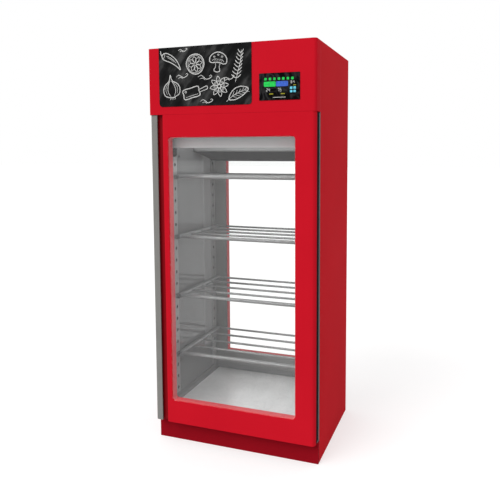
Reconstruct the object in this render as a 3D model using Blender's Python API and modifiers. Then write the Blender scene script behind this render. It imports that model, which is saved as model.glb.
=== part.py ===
"""A tall dry aging cabinet with one glazed door, a glazed rear wall and four tube shelves.

X runs to the right, Y to the back and Z up, in metres. The origin is on the floor in the middle
of the footprint, and the door faces -Y.
"""
import bpy
import bmesh
from math import cos, pi, radians, sin
from mathutils import Matrix, Vector

for old in list(bpy.data.objects):
    bpy.data.objects.remove(old, do_unlink=True)

# Whole cabinet: depth is from the face of the door to the back
width = 0.900
depth = 0.665
height = 2.080
sheet = 0.002
gap = 0.0003
overrun = 0.010
tolerance = 0.00001

# Base
plinth_height = 0.117
plinth_recess = 0.054
plinth_drop = 0.0033
rail_width = 0.066
rail_inset = 0.010
rail_wall = 0.003

# Header with its menu board and screen
header_height = 0.335
header_radius = 0.016
panel_proud = 0.0023
board_margin = 0.066
board_space = 0.039
board_rise = 0.0395
board_radius = 0.017
screen_margin = 0.0795
screen_width = 0.2055
screen_height = 0.128
screen_rise = 0.055
screen_radius = 0.003
housing_inset = 0.008
housing_depth = 0.035
louvre_rows = 8
louvre_columns = 2
louvre_margin = 0.090
louvre_space = 0.080
louvre_height = 0.006
louvre_pitch = 0.024
louvre_rise = 0.080

# Door
door_side_gap = 0.003
door_top_gap = 0.0013
door_thickness = 0.066
body_gap = 0.004
skin_inset = 0.072
skin_depth = 0.024
skin_radius_left = 0.012
skin_radius_right = 0.020
window_left_margin = 0.1065
window_right_margin = 0.1005
window_rise = 0.1205
window_drop = 0.1127
window_radius = 0.018
rebate_depth = 0.005
ledge = 0.003
reveal_depth = 0.041
pane = 0.004
core_recess = 0.003
core_drop = 0.0052
frame_overlap = 0.0215
frame_radius = 0.030
gasket_inset = 0.017
gasket_width = 0.014

# Grip profile on the free edge of the door
grip_setback = 0.006
grip_reach = 0.0415
grip_wall = 0.0025
grip_radius = 0.017
grip_return = 0.006

# Hinges
hinge_inset = 0.014
hinge_depth = 0.036
hinge_lift = 0.0013
hinge_plate = 0.005
hinge_plate_inner = 0.012
hinge_plate_outer = 0.006
hinge_plate_front = 0.006
hinge_flange = 0.003
hinge_flange_drop = 0.025
pin_radius = 0.004
pin_length = 0.025
pin_clearance = 0.0003
hinge_sides = 16

# Insulated body around the chamber
side_build = 0.062
floor_build = 0.063
ceiling_build = 0.055
back_build = 0.047
upstand = 0.035
cove_radius = 0.025
rear_window_margin = 0.077
rear_window_rise = 0.120
rear_window_drop = 0.178
rear_window_radius = 0.003
rear_rebate_width = 0.008

# Pilasters with their rows of holes
pilaster_width = 0.040
pilaster_depth = 0.005
pilaster_wall = 0.0015
pilaster_front = 0.136
pilaster_rear_inset = 0.038
pilaster_foot = 0.030
pilaster_front_head = 0.042
pilaster_rear_head = 0.016
hole_width = 0.006
hole_height = 0.012
hole_rise = 0.06825
hole_drop = 0.202
hole_count = 20

# Shelves and their runners: the shelves hang at these holes, counted from the lowest
shelf_holes = (18, 13, 8, 3)
shelf_front = 0.145
shelf_rear_inset = 0.011
shelf_tubes = 5
shelf_margin = 0.023
side_bar_radius = 0.010
side_bar_overhang = 0.009
front_tube_radius = 0.0097
cross_tube_radius = 0.006
tube_sides = 12
runner_wall = 0.0015
runner_start = 0.118
runner_rear_inset = 0.002
runner_clearance = 0.0035
runner_top_flange = 0.007
runner_bottom_flange = 0.023
runner_rise = 0.009
hook_width = 0.024
hook_height = 0.018
hook_rise = 0.001

# Valance, lamp and probe box behind the head of the door
valance_setback = 0.002
valance_height = 0.1127
valance_lip = 0.023
valance_return = 0.012
valance_wall = 0.0015
lamp_margin = 0.058
lamp_depth = 0.013
lamp_height = 0.012
lamp_setback = 0.027
probe_thickness = 0.0155
probe_start = 0.101
probe_length = 0.042
probe_height = 0.043
probe_drop = 0.110
probe_radius = 0.003

# Evaporator under the ceiling
fascia_inset = 0.278
fascia_depth = 0.012
fascia_height = 0.1307
fascia_corner = 0.025
fascia_lip_radius = 0.010
fascia_wall = 0.0015
pan_rim = 0.030
pan_slope = 0.057
pan_wall = 0.0015
coil_margin = 0.088
coil_inset = 0.088
coil_depth = 0.110
coil_clearance = 0.003
coil_slots = 14
coil_slot_width = 0.006
coil_slot_height = 0.080
fan_plate_setback = 0.050
fan_plate_wall = 0.002
fan_spacing = 0.260
fan_drop = 0.050
fan_opening = 0.044
fan_blade_radius = 0.040
fan_hub_radius = 0.013
fan_hub_length = 0.016
fan_running_gap = 0.003
fan_blade_width = 0.018
fan_blade_thickness = 0.0015
fan_blades = 5
fan_pitch = 35
shaft_radius = 0.003
shaft_clearance = 0.0003
shaft_length = 0.010
motor_radius = 0.014
motor_length = 0.018
motor_wall = 0.004
spider_width = 0.010
round_sides = 24
shaft_sides = 12

# Condensing unit in the header
condenser_margin = 0.050
condenser_width = 0.340
condenser_height = 0.280
condenser_start = 0.300
condenser_depth = 0.060
condenser_slots = 12
condenser_slot_width = 0.008
condenser_slot_height = 0.230
shroud_depth = 0.045
shroud_opening = 0.104
condenser_blade_radius = 0.097
condenser_hub_radius = 0.028
condenser_hub_length = 0.032
condenser_blade_width = 0.055
condenser_blade_thickness = 0.002
condenser_motor_radius = 0.030
condenser_motor_length = 0.035
condenser_spider_width = 0.016
compressor_margin = 0.280
compressor_inset = 0.140
compressor_radius = 0.085
compressor_height = 0.190
compressor_dome = 0.060
compressor_flange = 0.100
compressor_flange_height = 0.004
compressor_steps = 20
dome_steps = 5
control_margin = 0.050
control_width = 0.150
control_start = 0.110
control_depth = 0.110
control_height = 0.140

# Planes that the pieces share
front = -(depth - panel_proud) / 2
back = front + depth
side = width / 2
inside = side - sheet - gap
body_front = front + door_thickness + body_gap
inner_back = back - back_build
liner_back = inner_back + sheet
header_bottom = height - header_height
panel_top = plinth_height + floor_build - sheet - gap
floor_top = plinth_height + floor_build
ceiling = header_bottom - ceiling_build
chamber = side - side_build

door_left = -side + door_side_gap
door_right = side - door_side_gap
door_bottom = plinth_height
door_top = header_bottom - door_top_gap
core_top = door_top - core_drop
door_back = front + door_thickness
hinge_x = door_right - hinge_inset
hinge_y = front + hinge_depth

window_low = (door_left + window_left_margin, door_bottom + window_rise)
window_high = (door_right - window_right_margin, door_top - window_drop)

rear_low = (rear_window_margin - chamber, floor_top + rear_window_rise)
rear_high = (chamber - rear_window_margin, ceiling - rear_window_drop)

hole_first = floor_top + hole_rise
hole_pitch = (ceiling - hole_drop - hole_first) / (hole_count - 1)
pilaster_places = (
    (front + pilaster_front, pilaster_front_head, "front"),
    (inner_back - pilaster_rear_inset, pilaster_rear_head, "rear"),
)

# Finishes: colour, roughness, metallic value
finishes = {
    "red enamel": ((0.597, 0.010, 0.022, 1.0), 0.35, 0.0),
    "dark red enamel": ((0.270, 0.007, 0.012, 1.0), 0.45, 0.0),
    "stainless": ((0.420, 0.420, 0.430, 1.0), 0.30, 1.0),
    "bright stainless": ((0.550, 0.550, 0.560, 1.0), 0.25, 1.0),
    "grey metal": ((0.230, 0.230, 0.220, 1.0), 0.40, 0.8),
    "grey frame": ((0.300, 0.330, 0.350, 1.0), 0.50, 0.0),
    "dark plastic": ((0.045, 0.046, 0.051, 1.0), 0.60, 0.0),
    "slate": ((0.012, 0.013, 0.015, 1.0), 0.70, 0.0),
    "black glass": ((0.005, 0.005, 0.006, 1.0), 0.15, 0.0),
    "clear glass": ((0.900, 0.930, 0.930, 0.2), 0.05, 0.0),
    "black rubber": ((0.020, 0.020, 0.020, 1.0), 0.80, 0.0),
    "galvanised": ((0.350, 0.360, 0.370, 1.0), 0.45, 1.0),
    "fin aluminium": ((0.500, 0.510, 0.520, 1.0), 0.40, 1.0),
    "white lamp": ((0.850, 0.850, 0.830, 1.0), 0.40, 0.0),
    "black enamel": ((0.015, 0.015, 0.015, 1.0), 0.35, 0.0),
}

parts = bpy.data.collections.new("dry aging cabinet")
cutters = bpy.data.collections.new("cutters")
bpy.context.scene.collection.children.link(parts)
bpy.context.scene.collection.children.link(cutters)


def paint(name, finish):
    """The material of one piece."""
    colour, roughness, metallic = finishes[finish]
    made = bpy.data.materials.new(name)
    made.use_nodes = True
    shader = made.node_tree.nodes["Principled BSDF"]
    shader.inputs["Base Color"].default_value = colour
    shader.inputs["Alpha"].default_value = colour[3]
    shader.inputs["Roughness"].default_value = roughness
    shader.inputs["Metallic"].default_value = metallic
    return made


def settle(name, bm, origin, collection, parent):
    """An object from a bmesh drawn in world coordinates, with its origin at the given point."""
    bmesh.ops.translate(bm, verts=bm.verts, vec=-Vector(origin))
    mesh = bpy.data.meshes.new(name)
    bm.to_mesh(mesh)
    bm.free()
    obj = bpy.data.objects.new(name, mesh)
    collection.objects.link(obj)
    obj.parent = parent
    obj.location = Vector(origin) - (parent.location if parent else Vector())
    return obj


def middle(bm):
    """The middle of the box round a bmesh."""
    spans = [[vert.co[axis] for vert in bm.verts] for axis in range(3)]
    return Vector([(min(span) + max(span)) / 2 for span in spans])


def piece(name, bm, finish, origin=None, parent=None):
    """One named piece of the cabinet."""
    obj = settle(name, bm, middle(bm) if origin is None else origin, parts, parent)
    obj.data.materials.append(paint(name, finish))
    obj.data.shade_smooth()
    obj.data.set_sharp_from_angle(angle=radians(30))
    return obj


def shape(obj, bm, operation):
    """Joins a solid drawn in world coordinates to a piece, or cuts it out."""
    origin = obj.location + (obj.parent.location if obj.parent else Vector())
    count = len(obj.modifiers)
    tool = settle(f"{obj.name}_tool_{count}", bm, origin, cutters, obj.parent)
    tool.hide_render = True
    tool.display_type = "WIRE"
    modifier = obj.modifiers.new(operation.lower(), "BOOLEAN")
    modifier.operation = operation
    modifier.solver = "EXACT"
    modifier.object = tool


def edges_at(bm, **places):
    """The edges that lie wholly at the given x, y or z."""
    return [
        edge
        for edge in bm.edges
        if all(abs(vert.co["xyz".index(axis)] - place) < tolerance for vert in edge.verts for axis, place in places.items())
    ]


def round_off(bm, edges, radius, segments):
    """Rounds the given edges."""
    bmesh.ops.bevel(bm, geom=edges, offset=radius, segments=segments, profile=0.5, affect="EDGES")


def block(bm, low, high):
    """Adds a box between two corners."""
    low, high = Vector(low), Vector(high)
    stretch = Matrix.Diagonal((*(high - low), 1))
    bmesh.ops.create_cube(bm, size=1, matrix=Matrix.Translation((low + high) / 2) @ stretch)
    return bm


def rod(bm, start, end, radius, sides):
    """Adds a cylinder between two points."""
    start, end = Vector(start), Vector(end)
    turn = (end - start).to_track_quat("Z", "Y").to_matrix().to_4x4()
    bmesh.ops.create_cone(
        bm,
        cap_ends=True,
        segments=sides,
        radius1=radius,
        radius2=radius,
        depth=(end - start).length,
        matrix=Matrix.Translation((start + end) / 2) @ turn,
    )
    return bm


def upright_plate(low, high, start, end, radius, segments=5):
    """A plate with round corners seen from the front: low and high are (x, z) corners, start and end are y."""
    bm = block(bmesh.new(), (low[0], start, low[1]), (high[0], end, high[1]))
    corners = [edge for x in (low[0], high[0]) for z in (low[1], high[1]) for edge in edges_at(bm, x=x, z=z)]
    round_off(bm, corners, radius, segments)
    return bm


def grown(low, high, by):
    """The corners of an outline moved outwards, or inwards where by is negative."""
    return (low[0] - by, low[1] - by), (high[0] + by, high[1] + by)


def open_up(bm, low, high, sides):
    """Takes away the faces on the named sides of a box, such as '+z'."""
    gone = []
    for name in sides:
        axis = "xyz".index(name[1])
        place = (high if name[0] == "+" else low)[axis]
        gone += [face for face in bm.faces if all(abs(vert.co[axis] - place) < tolerance for vert in face.verts)]
    bmesh.ops.delete(bm, geom=gone, context="FACES")


def thicken(obj, wall):
    """Gives an open surface its wall, on the inner side."""
    modifier = obj.modifiers.new("wall", "SOLIDIFY")
    modifier.thickness = wall
    modifier.offset = -1
    modifier.use_even_offset = True


def pressing(name, low, high, sides, wall, finish, rounds=(), parent=None):
    """A sheet pressing: a box that is open on the named sides, with rounded edges."""
    bm = block(bmesh.new(), low, high)
    for places, radius, segments in rounds:
        round_off(bm, edges_at(bm, **places), radius, segments)
    open_up(bm, low, high, sides)
    obj = piece(name, bm, finish, parent=parent)
    thicken(obj, wall)
    return obj


def folded(name, outline, along, start, end, wall, finish, rounds=(), parent=None):
    """A strip folded to an outline and run straight along one axis, its wall on the hollow side."""
    axis = "xyz".index(along)
    bm = bmesh.new()
    verts = []
    for point in outline:
        place = list(point)
        place.insert(axis, start)
        verts.append(bm.verts.new(place))
    edges = [bm.edges.new(pair) for pair in zip(verts, verts[1:])]
    made = bmesh.ops.extrude_edge_only(bm, edges=edges)["geom"]
    run = Vector((0, 0, 0))
    run[axis] = end - start
    bmesh.ops.translate(bm, verts=[item for item in made if isinstance(item, bmesh.types.BMVert)], vec=run)
    bm.normal_update()
    largest = max(bm.faces, key=lambda face: face.calc_area())
    if largest.normal.dot(largest.calc_center_median() - middle(bm)) < 0:
        bmesh.ops.reverse_faces(bm, faces=bm.faces)
    for places, radius, segments in rounds:
        round_off(bm, edges_at(bm, **places), radius, segments)
    obj = piece(name, bm, finish, parent=parent)
    thicken(obj, wall)
    return obj


def axial_fan(name, axis_x, hub_front, axis_z, hub_radius, hub_length, blade_radius, blade_width, blade_thickness, shaft):
    """A fan that turns on a shaft along y: the hub starts at hub_front and the shaft runs back from it."""
    hub_end = hub_front + hub_length
    obj = piece(
        name,
        rod(bmesh.new(), (axis_x, hub_front, axis_z), (axis_x, hub_end, axis_z), hub_radius, round_sides),
        "dark plastic",
        origin=(axis_x, hub_front, axis_z),
    )
    blades = bmesh.new()
    for number in range(fan_blades):
        blade = bmesh.new()
        block(
            blade,
            (-blade_width / 2, -blade_thickness / 2, hub_radius / 2),
            (blade_width / 2, blade_thickness / 2, blade_radius),
        )
        bmesh.ops.rotate(blade, cent=(0, 0, 0), matrix=Matrix.Rotation(radians(fan_pitch), 3, "Z"), verts=blade.verts)
        turn = Matrix.Rotation(2 * pi * number / fan_blades, 3, "Y")
        bmesh.ops.rotate(blade, cent=(0, 0, 0), matrix=turn, verts=blade.verts)
        bmesh.ops.translate(blade, verts=blade.verts, vec=(axis_x, hub_front + hub_length / 2, axis_z))
        part_mesh = bpy.data.meshes.new("blade")
        blade.to_mesh(part_mesh)
        blade.free()
        blades.from_mesh(part_mesh)
        bpy.data.meshes.remove(part_mesh)
    shape(obj, blades, "UNION")
    shape(
        obj,
        rod(bmesh.new(), (axis_x, hub_front + hub_length / 2, axis_z), (axis_x, hub_end + shaft, axis_z), shaft_radius, shaft_sides),
        "UNION",
    )
    return obj


def motor_mount(obj, axis_x, face, wall, axis_z, reach, spider, radius, length, bore):
    """Adds a spider and a motor can behind a fan plate, with a bore for the fan's shaft."""
    shape(
        obj,
        block(
            bmesh.new(),
            (axis_x - spider / 2, face + wall / 2, axis_z - reach),
            (axis_x + spider / 2, face + wall / 2 + motor_wall, axis_z + reach),
        ),
        "UNION",
    )
    can = rod(bmesh.new(), (axis_x, face + wall / 2 + motor_wall / 2, axis_z), (axis_x, face + length, axis_z), radius, round_sides)
    shape(obj, can, "UNION")
    shape(
        obj,
        rod(bmesh.new(), (axis_x, face - overrun, axis_z), (axis_x, face + bore, axis_z), shaft_radius + shaft_clearance, shaft_sides),
        "DIFFERENCE",
    )


def slots(bm, start, pitch, count, low, high):
    """Adds a row of boxes along x: low and high are the first box's corners with start left out."""
    for number in range(count):
        place = start + number * pitch
        block(bm, (place + low[0], low[1], low[2]), (place + high[0], high[1], high[2]))
    return bm


# Kick plate under the door, set back, and the rear plinth sheet
pressing(
    "plinth_front",
    (-side, front + plinth_recess, 0),
    (side, body_front - gap, plinth_height - plinth_drop),
    ("+y", "+z", "-z"),
    sheet,
    "dark red enamel",
)
piece(
    "plinth_rear",
    block(bmesh.new(), (-inside, back - sheet, 0), (inside, back, plinth_height - gap)),
    "dark red enamel",
)

# Channel rails that carry the floor panel, and the side sheets outside them
for hand, name in ((-1, "left"), (1, "right")):
    across = sorted((hand * inside, hand * (inside - rail_width)))
    pressing(
        f"base_rail_{name}",
        (across[0], body_front + rail_inset, 0),
        (across[1], back - sheet - rail_inset, plinth_height - gap),
        ("+x" if hand < 0 else "-x", "-y", "+y"),
        rail_wall,
        "galvanised",
    )
    across = sorted((hand * side, hand * (side - sheet)))
    piece(
        f"side_skin_{name}",
        block(bmesh.new(), (across[0], body_front, 0), (across[1], back, height)),
        "red enamel",
    )

# Header: one pressing round the front, with the cut-out for the screen
screen_low = (side - screen_margin - screen_width, header_bottom + screen_rise)
screen_high = (side - screen_margin, screen_low[1] + screen_height)
header = pressing(
    "header_front",
    (-side, front, header_bottom),
    (side, body_front - gap, height),
    ("+y", "+z"),
    sheet,
    "red enamel",
    rounds=(({"x": -side, "y": front}, header_radius, 6), ({"x": side, "y": front}, header_radius, 6)),
)
housing_low, housing_high = grown(screen_low, screen_high, -housing_inset)
opening_low, opening_high = grown(housing_low, housing_high, gap)
shape(
    header,
    block(bmesh.new(), (opening_low[0], front - overrun, opening_low[1]), (opening_high[0], front + overrun, opening_high[1])),
    "DIFFERENCE",
)

# Screen glass on the face of the header, with its housing behind
piece(
    "display_housing",
    block(bmesh.new(), (housing_low[0], front, housing_low[1]), (housing_high[0], front + housing_depth, housing_high[1])),
    "dark plastic",
)
piece(
    "display_glass",
    upright_plate(screen_low, screen_high, front - panel_proud, front - gap, screen_radius, 3),
    "black glass",
)

# Menu board, square at the top edge of the header and round at its lower corners
board_low = (-side + board_margin, header_bottom + board_rise)
board_high = (screen_low[0] - board_space, height)
board = block(bmesh.new(), (board_low[0], front - panel_proud, board_low[1]), (board_high[0], front - gap, board_high[1]))
round_off(board, edges_at(board, x=board_low[0], z=board_low[1]) + edges_at(board, x=board_high[0], z=board_low[1]), board_radius, 5)
piece("menu_board", board, "slate")

# Roof, fitted inside the header pressing
roof = block(bmesh.new(), (-inside, front + sheet + gap, height - sheet), (inside, back - sheet - gap, height))
round_off(
    roof,
    edges_at(roof, x=-inside, y=front + sheet + gap) + edges_at(roof, x=inside, y=front + sheet + gap),
    header_radius - sheet - gap,
    5,
)
piece("header_roof", roof, "red enamel")

# Rear grille panel of the header
grille = piece(
    "header_rear_panel",
    block(bmesh.new(), (-inside, back - sheet, header_bottom), (inside, back, height)),
    "dark red enamel",
)
louvres = bmesh.new()
louvre_width = (width - 2 * louvre_margin - louvre_space * (louvre_columns - 1)) / louvre_columns
for row in range(louvre_rows):
    foot = header_bottom + louvre_rise + row * louvre_pitch
    slots(
        louvres,
        -side + louvre_margin,
        louvre_width + louvre_space,
        louvre_columns,
        (0, back - sheet - overrun, foot),
        (louvre_width, back + overrun, foot + louvre_height),
    )
shape(grille, louvres, "DIFFERENCE")

# Insulated floor, sides, ceiling and rear wall
piece(
    "floor_panel",
    block(bmesh.new(), (-inside, body_front, plinth_height), (inside, back, panel_top)),
    "grey frame",
)
for hand, name in ((-1, "left"), (1, "right")):
    across = sorted((hand * chamber, hand * inside))
    piece(
        f"side_wall_{name}",
        block(bmesh.new(), (across[0], body_front, panel_top + gap), (across[1], liner_back, header_bottom - gap)),
        "stainless",
    )
piece(
    "ceiling_panel",
    block(bmesh.new(), (-chamber + gap, body_front, ceiling), (chamber - gap, inner_back - gap, header_bottom - gap)),
    "stainless",
)
rear = piece(
    "rear_wall",
    block(bmesh.new(), (-inside, liner_back + gap, panel_top + gap), (inside, back, header_bottom - gap)),
    "red enamel",
)
shape(rear, upright_plate(rear_low, rear_high, liner_back - overrun, back + overrun, rear_window_radius), "DIFFERENCE")
seat_low, seat_high = grown(rear_low, rear_high, rear_rebate_width)
seat_radius = rear_window_radius + rear_rebate_width
seat_depth = pane + 2 * gap
shape(rear, upright_plate(seat_low, seat_high, back - seat_depth, back + overrun, seat_radius), "DIFFERENCE")
shape(
    rear,
    upright_plate(seat_low, seat_high, liner_back - overrun, liner_back + gap + seat_depth, seat_radius),
    "DIFFERENCE",
)
pane_low, pane_high = grown(seat_low, seat_high, -gap)
piece(
    "rear_glass_outer",
    upright_plate(pane_low, pane_high, back - gap - pane, back - gap, seat_radius - gap),
    "clear glass",
)
piece(
    "rear_glass_inner",
    upright_plate(pane_low, pane_high, liner_back + 2 * gap, liner_back + 2 * gap + pane, seat_radius - gap),
    "clear glass",
)

# Stainless liner of the rear wall and the coved floor tray
liner = piece(
    "rear_liner",
    block(bmesh.new(), (-chamber + gap, inner_back, panel_top + gap), (chamber - gap, liner_back, header_bottom - gap)),
    "stainless",
)
shape(liner, upright_plate(rear_low, rear_high, inner_back - overrun, liner_back + overrun, rear_window_radius), "DIFFERENCE")
tray_low = (-chamber + gap, body_front, floor_top - sheet)
tray_high = (chamber - gap, inner_back - gap, floor_top - sheet + upstand)
pressing(
    "floor_liner",
    tray_low,
    tray_high,
    ("+z", "-y"),
    sheet,
    "bright stainless",
    rounds=(
        ({"x": tray_low[0], "z": tray_low[2]}, cove_radius, 4),
        ({"x": tray_high[0], "z": tray_low[2]}, cove_radius, 4),
    ),
)

# Four pilasters, each a shallow channel with its hollow towards the wall
for hand, hand_name in ((-1, "left"), (1, "right")):
    for centre, head, place_name in pilaster_places:
        across = sorted((hand * (chamber - gap), hand * (chamber - gap - pilaster_depth)))
        post = pressing(
            f"pilaster_{place_name}_{hand_name}",
            (across[0], centre - pilaster_width / 2, hole_first - pilaster_foot),
            (across[1], centre + pilaster_width / 2, hole_first + hole_pitch * (hole_count - 1) + head),
            ("-x" if hand < 0 else "+x", "-z", "+z"),
            pilaster_wall,
            "stainless",
        )
        holes = bmesh.new()
        for number in range(hole_count):
            level = hole_first + number * hole_pitch
            block(
                holes,
                (across[0] - overrun, centre - hole_width / 2, level - hole_height / 2),
                (across[1] + overrun, centre + hole_width / 2, level + hole_height / 2),
            )
        shape(post, holes, "DIFFERENCE")

# Four shelves of cross tubes between two side bars, each on a pair of hooked runners
first_tube = front + shelf_front
last_tube = inner_back - shelf_rear_inset
shelf_pitch = (last_tube - first_tube) / (shelf_tubes - 1)
shelf_half = chamber - shelf_margin
web = shelf_half + side_bar_radius + runner_clearance + runner_wall
hook_end = chamber - 2 * gap - pilaster_depth
for number, hole in enumerate(shelf_holes, start=1):
    level = hole_first + hole * hole_pitch
    seat = level - side_bar_radius - gap - runner_wall
    for hand, name in ((-1, "left"), (1, "right")):
        runner = folded(
            f"runner_{number}_{name}",
            (
                (hand * (web - runner_top_flange), level + runner_rise),
                (hand * web, level + runner_rise),
                (hand * web, seat),
                (hand * (web - runner_bottom_flange), seat),
            ),
            "y",
            front + runner_start,
            inner_back - runner_rear_inset,
            runner_wall,
            "stainless",
        )
        hooks = bmesh.new()
        for centre, head, place_name in pilaster_places:
            across = sorted((hand * (web - runner_wall / 2), hand * hook_end))
            block(
                hooks,
                (across[0], centre - hook_width / 2, level + hook_rise - hook_height / 2),
                (across[1], centre + hook_width / 2, level + hook_rise + hook_height / 2),
            )
        shape(runner, hooks, "UNION")
    bars = rod(
        bmesh.new(),
        (-shelf_half, first_tube - side_bar_overhang, level),
        (-shelf_half, last_tube + side_bar_overhang, level),
        side_bar_radius,
        tube_sides,
    )
    rod(
        bars,
        (shelf_half, first_tube - side_bar_overhang, level),
        (shelf_half, last_tube + side_bar_overhang, level),
        side_bar_radius,
        tube_sides,
    )
    shelf = piece(f"shelf_{number}", bars, "stainless")
    tubes = bmesh.new()
    for tube in range(shelf_tubes):
        along = first_tube + tube * shelf_pitch
        radius = cross_tube_radius if tube else front_tube_radius
        if tube in (0, shelf_tubes - 1):
            along += side_bar_overhang * (1 if tube == 0 else -1) / shelf_tubes
        rod(tubes, (-shelf_half, along, level), (shelf_half, along, level), radius, tube_sides)
    shape(shelf, tubes, "UNION")

# Valance behind the head of the door, its lamp and the probe box on the left wall
valance_front = body_front + valance_setback
valance_bottom = ceiling - gap - valance_height
folded(
    "valance",
    (
        (valance_front, ceiling - gap),
        (valance_front, valance_bottom),
        (valance_front + valance_lip, valance_bottom),
        (valance_front + valance_lip, valance_bottom + valance_return),
    ),
    "x",
    -chamber + gap,
    chamber - gap,
    valance_wall,
    "bright stainless",
)
piece(
    "lamp_bar",
    block(
        bmesh.new(),
        (lamp_margin - chamber, body_front + lamp_setback, ceiling - gap - lamp_height),
        (chamber - lamp_margin, body_front + lamp_setback + lamp_depth, ceiling - gap),
    ),
    "white lamp",
)
probe_low = (-chamber + gap, front + probe_start, ceiling - probe_drop - probe_height)
probe_high = (-chamber + gap + probe_thickness, front + probe_start + probe_length, ceiling - probe_drop)
probe = block(bmesh.new(), probe_low, probe_high)
round_off(probe, edges_at(probe, x=probe_high[0]), probe_radius, 2)
piece("probe_box", probe, "dark plastic")

# Evaporator fascia with round lower corners and a rolled lip, and the sloping drip pan behind it
fascia_bottom = ceiling - gap - fascia_height
fascia_face = inner_back - fascia_inset
fascia_low = (-chamber + gap, fascia_face, fascia_bottom)
fascia_high = (chamber - gap, fascia_face + fascia_depth, ceiling - gap)
fascia_bm = block(bmesh.new(), fascia_low, fascia_high)
round_off(
    fascia_bm,
    edges_at(fascia_bm, x=fascia_low[0], z=fascia_bottom) + edges_at(fascia_bm, x=fascia_high[0], z=fascia_bottom),
    fascia_corner,
    4,
)
lip = [
    edge
    for edge in edges_at(fascia_bm, y=fascia_low[1])
    if all(vert.co.z < fascia_bottom + fascia_corner + tolerance for vert in edge.verts)
]
round_off(fascia_bm, lip, fascia_lip_radius, 3)
open_up(fascia_bm, fascia_low, fascia_high, ("+y", "+z"))
fascia = piece("evaporator_fascia", fascia_bm, "stainless")
thicken(fascia, fascia_wall)

pan_low = (-chamber + gap, fascia_face + fascia_depth + gap, fascia_bottom)
pan_high = (chamber - gap, inner_back - gap, fascia_bottom + pan_rim)
pan_bm = block(bmesh.new(), pan_low, pan_high)
for vert in pan_bm.verts:
    if vert.co.y > pan_high[1] - tolerance and vert.co.z < pan_low[2] + tolerance:
        vert.co.z -= pan_slope
open_up(pan_bm, pan_low, pan_high, ("+z",))
pan = piece("evaporator_pan", pan_bm, "stainless")
thicken(pan, pan_wall)

# Finned evaporator coil, hung from the ceiling
coil_bottom = fascia_bottom + pan_rim + coil_clearance
coil_half = chamber - coil_margin
coil_back = inner_back - coil_inset
coil = piece(
    "evaporator_coil",
    block(
        bmesh.new(),
        (-coil_half, coil_back - coil_depth, coil_bottom),
        (coil_half, coil_back, ceiling - gap),
    ),
    "fin aluminium",
)
coil_pitch = 2 * coil_half / (coil_slots + 1)
shape(
    coil,
    slots(
        bmesh.new(),
        -coil_half + coil_pitch,
        coil_pitch,
        coil_slots,
        (-coil_slot_width / 2, coil_back - coil_depth - overrun, coil_bottom - overrun),
        (coil_slot_width / 2, coil_back + overrun, coil_bottom + coil_slot_height),
    ),
    "DIFFERENCE",
)

# Fan plate in front of the coil with its two motors, and the two fans
plate_face = fascia_face + fan_plate_setback
fan_level = ceiling - fan_drop
fan_plate = piece(
    "fan_plate",
    block(
        bmesh.new(),
        (-chamber + gap, plate_face, coil_bottom),
        (chamber - gap, plate_face + fan_plate_wall, ceiling - gap),
    ),
    "stainless",
)
for hand in (-1, 1):
    shape(
        fan_plate,
        rod(
            bmesh.new(),
            (hand * fan_spacing / 2, plate_face - overrun, fan_level),
            (hand * fan_spacing / 2, plate_face + overrun, fan_level),
            fan_opening,
            round_sides,
        ),
        "DIFFERENCE",
    )
for hand, name in ((-1, "left"), (1, "right")):
    across = hand * fan_spacing / 2
    motor_mount(
        fan_plate,
        across,
        plate_face,
        fan_plate_wall,
        fan_level,
        fan_opening + fan_plate_wall,
        spider_width,
        motor_radius,
        motor_length,
        shaft_length + shaft_clearance,
    )
    axial_fan(
        f"evaporator_fan_{name}",
        across,
        plate_face - fan_running_gap - fan_hub_length,
        fan_level,
        fan_hub_radius,
        fan_hub_length,
        fan_blade_radius,
        fan_blade_width,
        fan_blade_thickness,
        fan_running_gap + shaft_length,
    )

# Condenser coil on the ceiling panel, its shroud with the motor, and the fan between them
condenser_right = side - condenser_margin
condenser_left = condenser_right - condenser_width
condenser_face = front + condenser_start
condenser = piece(
    "condenser_coil",
    block(
        bmesh.new(),
        (condenser_left, condenser_face, header_bottom),
        (condenser_right, condenser_face + condenser_depth, header_bottom + condenser_height),
    ),
    "fin aluminium",
)
condenser_pitch = condenser_width / (condenser_slots + 1)
condenser_slot_rise = (condenser_height - condenser_slot_height) / 2
shape(
    condenser,
    slots(
        bmesh.new(),
        condenser_left + condenser_pitch,
        condenser_pitch,
        condenser_slots,
        (-condenser_slot_width / 2, condenser_face - overrun, header_bottom + condenser_slot_rise),
        (
            condenser_slot_width / 2,
            condenser_face + condenser_depth + overrun,
            header_bottom + condenser_slot_rise + condenser_slot_height,
        ),
    ),
    "DIFFERENCE",
)
shroud_start = condenser_face + condenser_depth + gap
shroud_face = shroud_start + shroud_depth - sheet
condenser_x = (condenser_left + condenser_right) / 2
condenser_z = header_bottom + condenser_height / 2
shroud = pressing(
    "condenser_shroud",
    (condenser_left, shroud_start, header_bottom),
    (condenser_right, shroud_start + shroud_depth, header_bottom + condenser_height),
    ("-y",),
    sheet,
    "galvanised",
)
shape(
    shroud,
    rod(
        bmesh.new(),
        (condenser_x, shroud_face - overrun, condenser_z),
        (condenser_x, shroud_face + overrun, condenser_z),
        shroud_opening,
        round_sides,
    ),
    "DIFFERENCE",
)
motor_mount(
    shroud,
    condenser_x,
    shroud_face,
    sheet,
    condenser_z,
    shroud_opening + motor_wall,
    condenser_spider_width,
    condenser_motor_radius,
    condenser_motor_length,
    shaft_length + shaft_clearance,
)
axial_fan(
    "condenser_fan",
    condenser_x,
    shroud_face - fan_running_gap - condenser_hub_length,
    condenser_z,
    condenser_hub_radius,
    condenser_hub_length,
    condenser_blade_radius,
    condenser_blade_width,
    condenser_blade_thickness,
    fan_running_gap + shaft_length,
)

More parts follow.
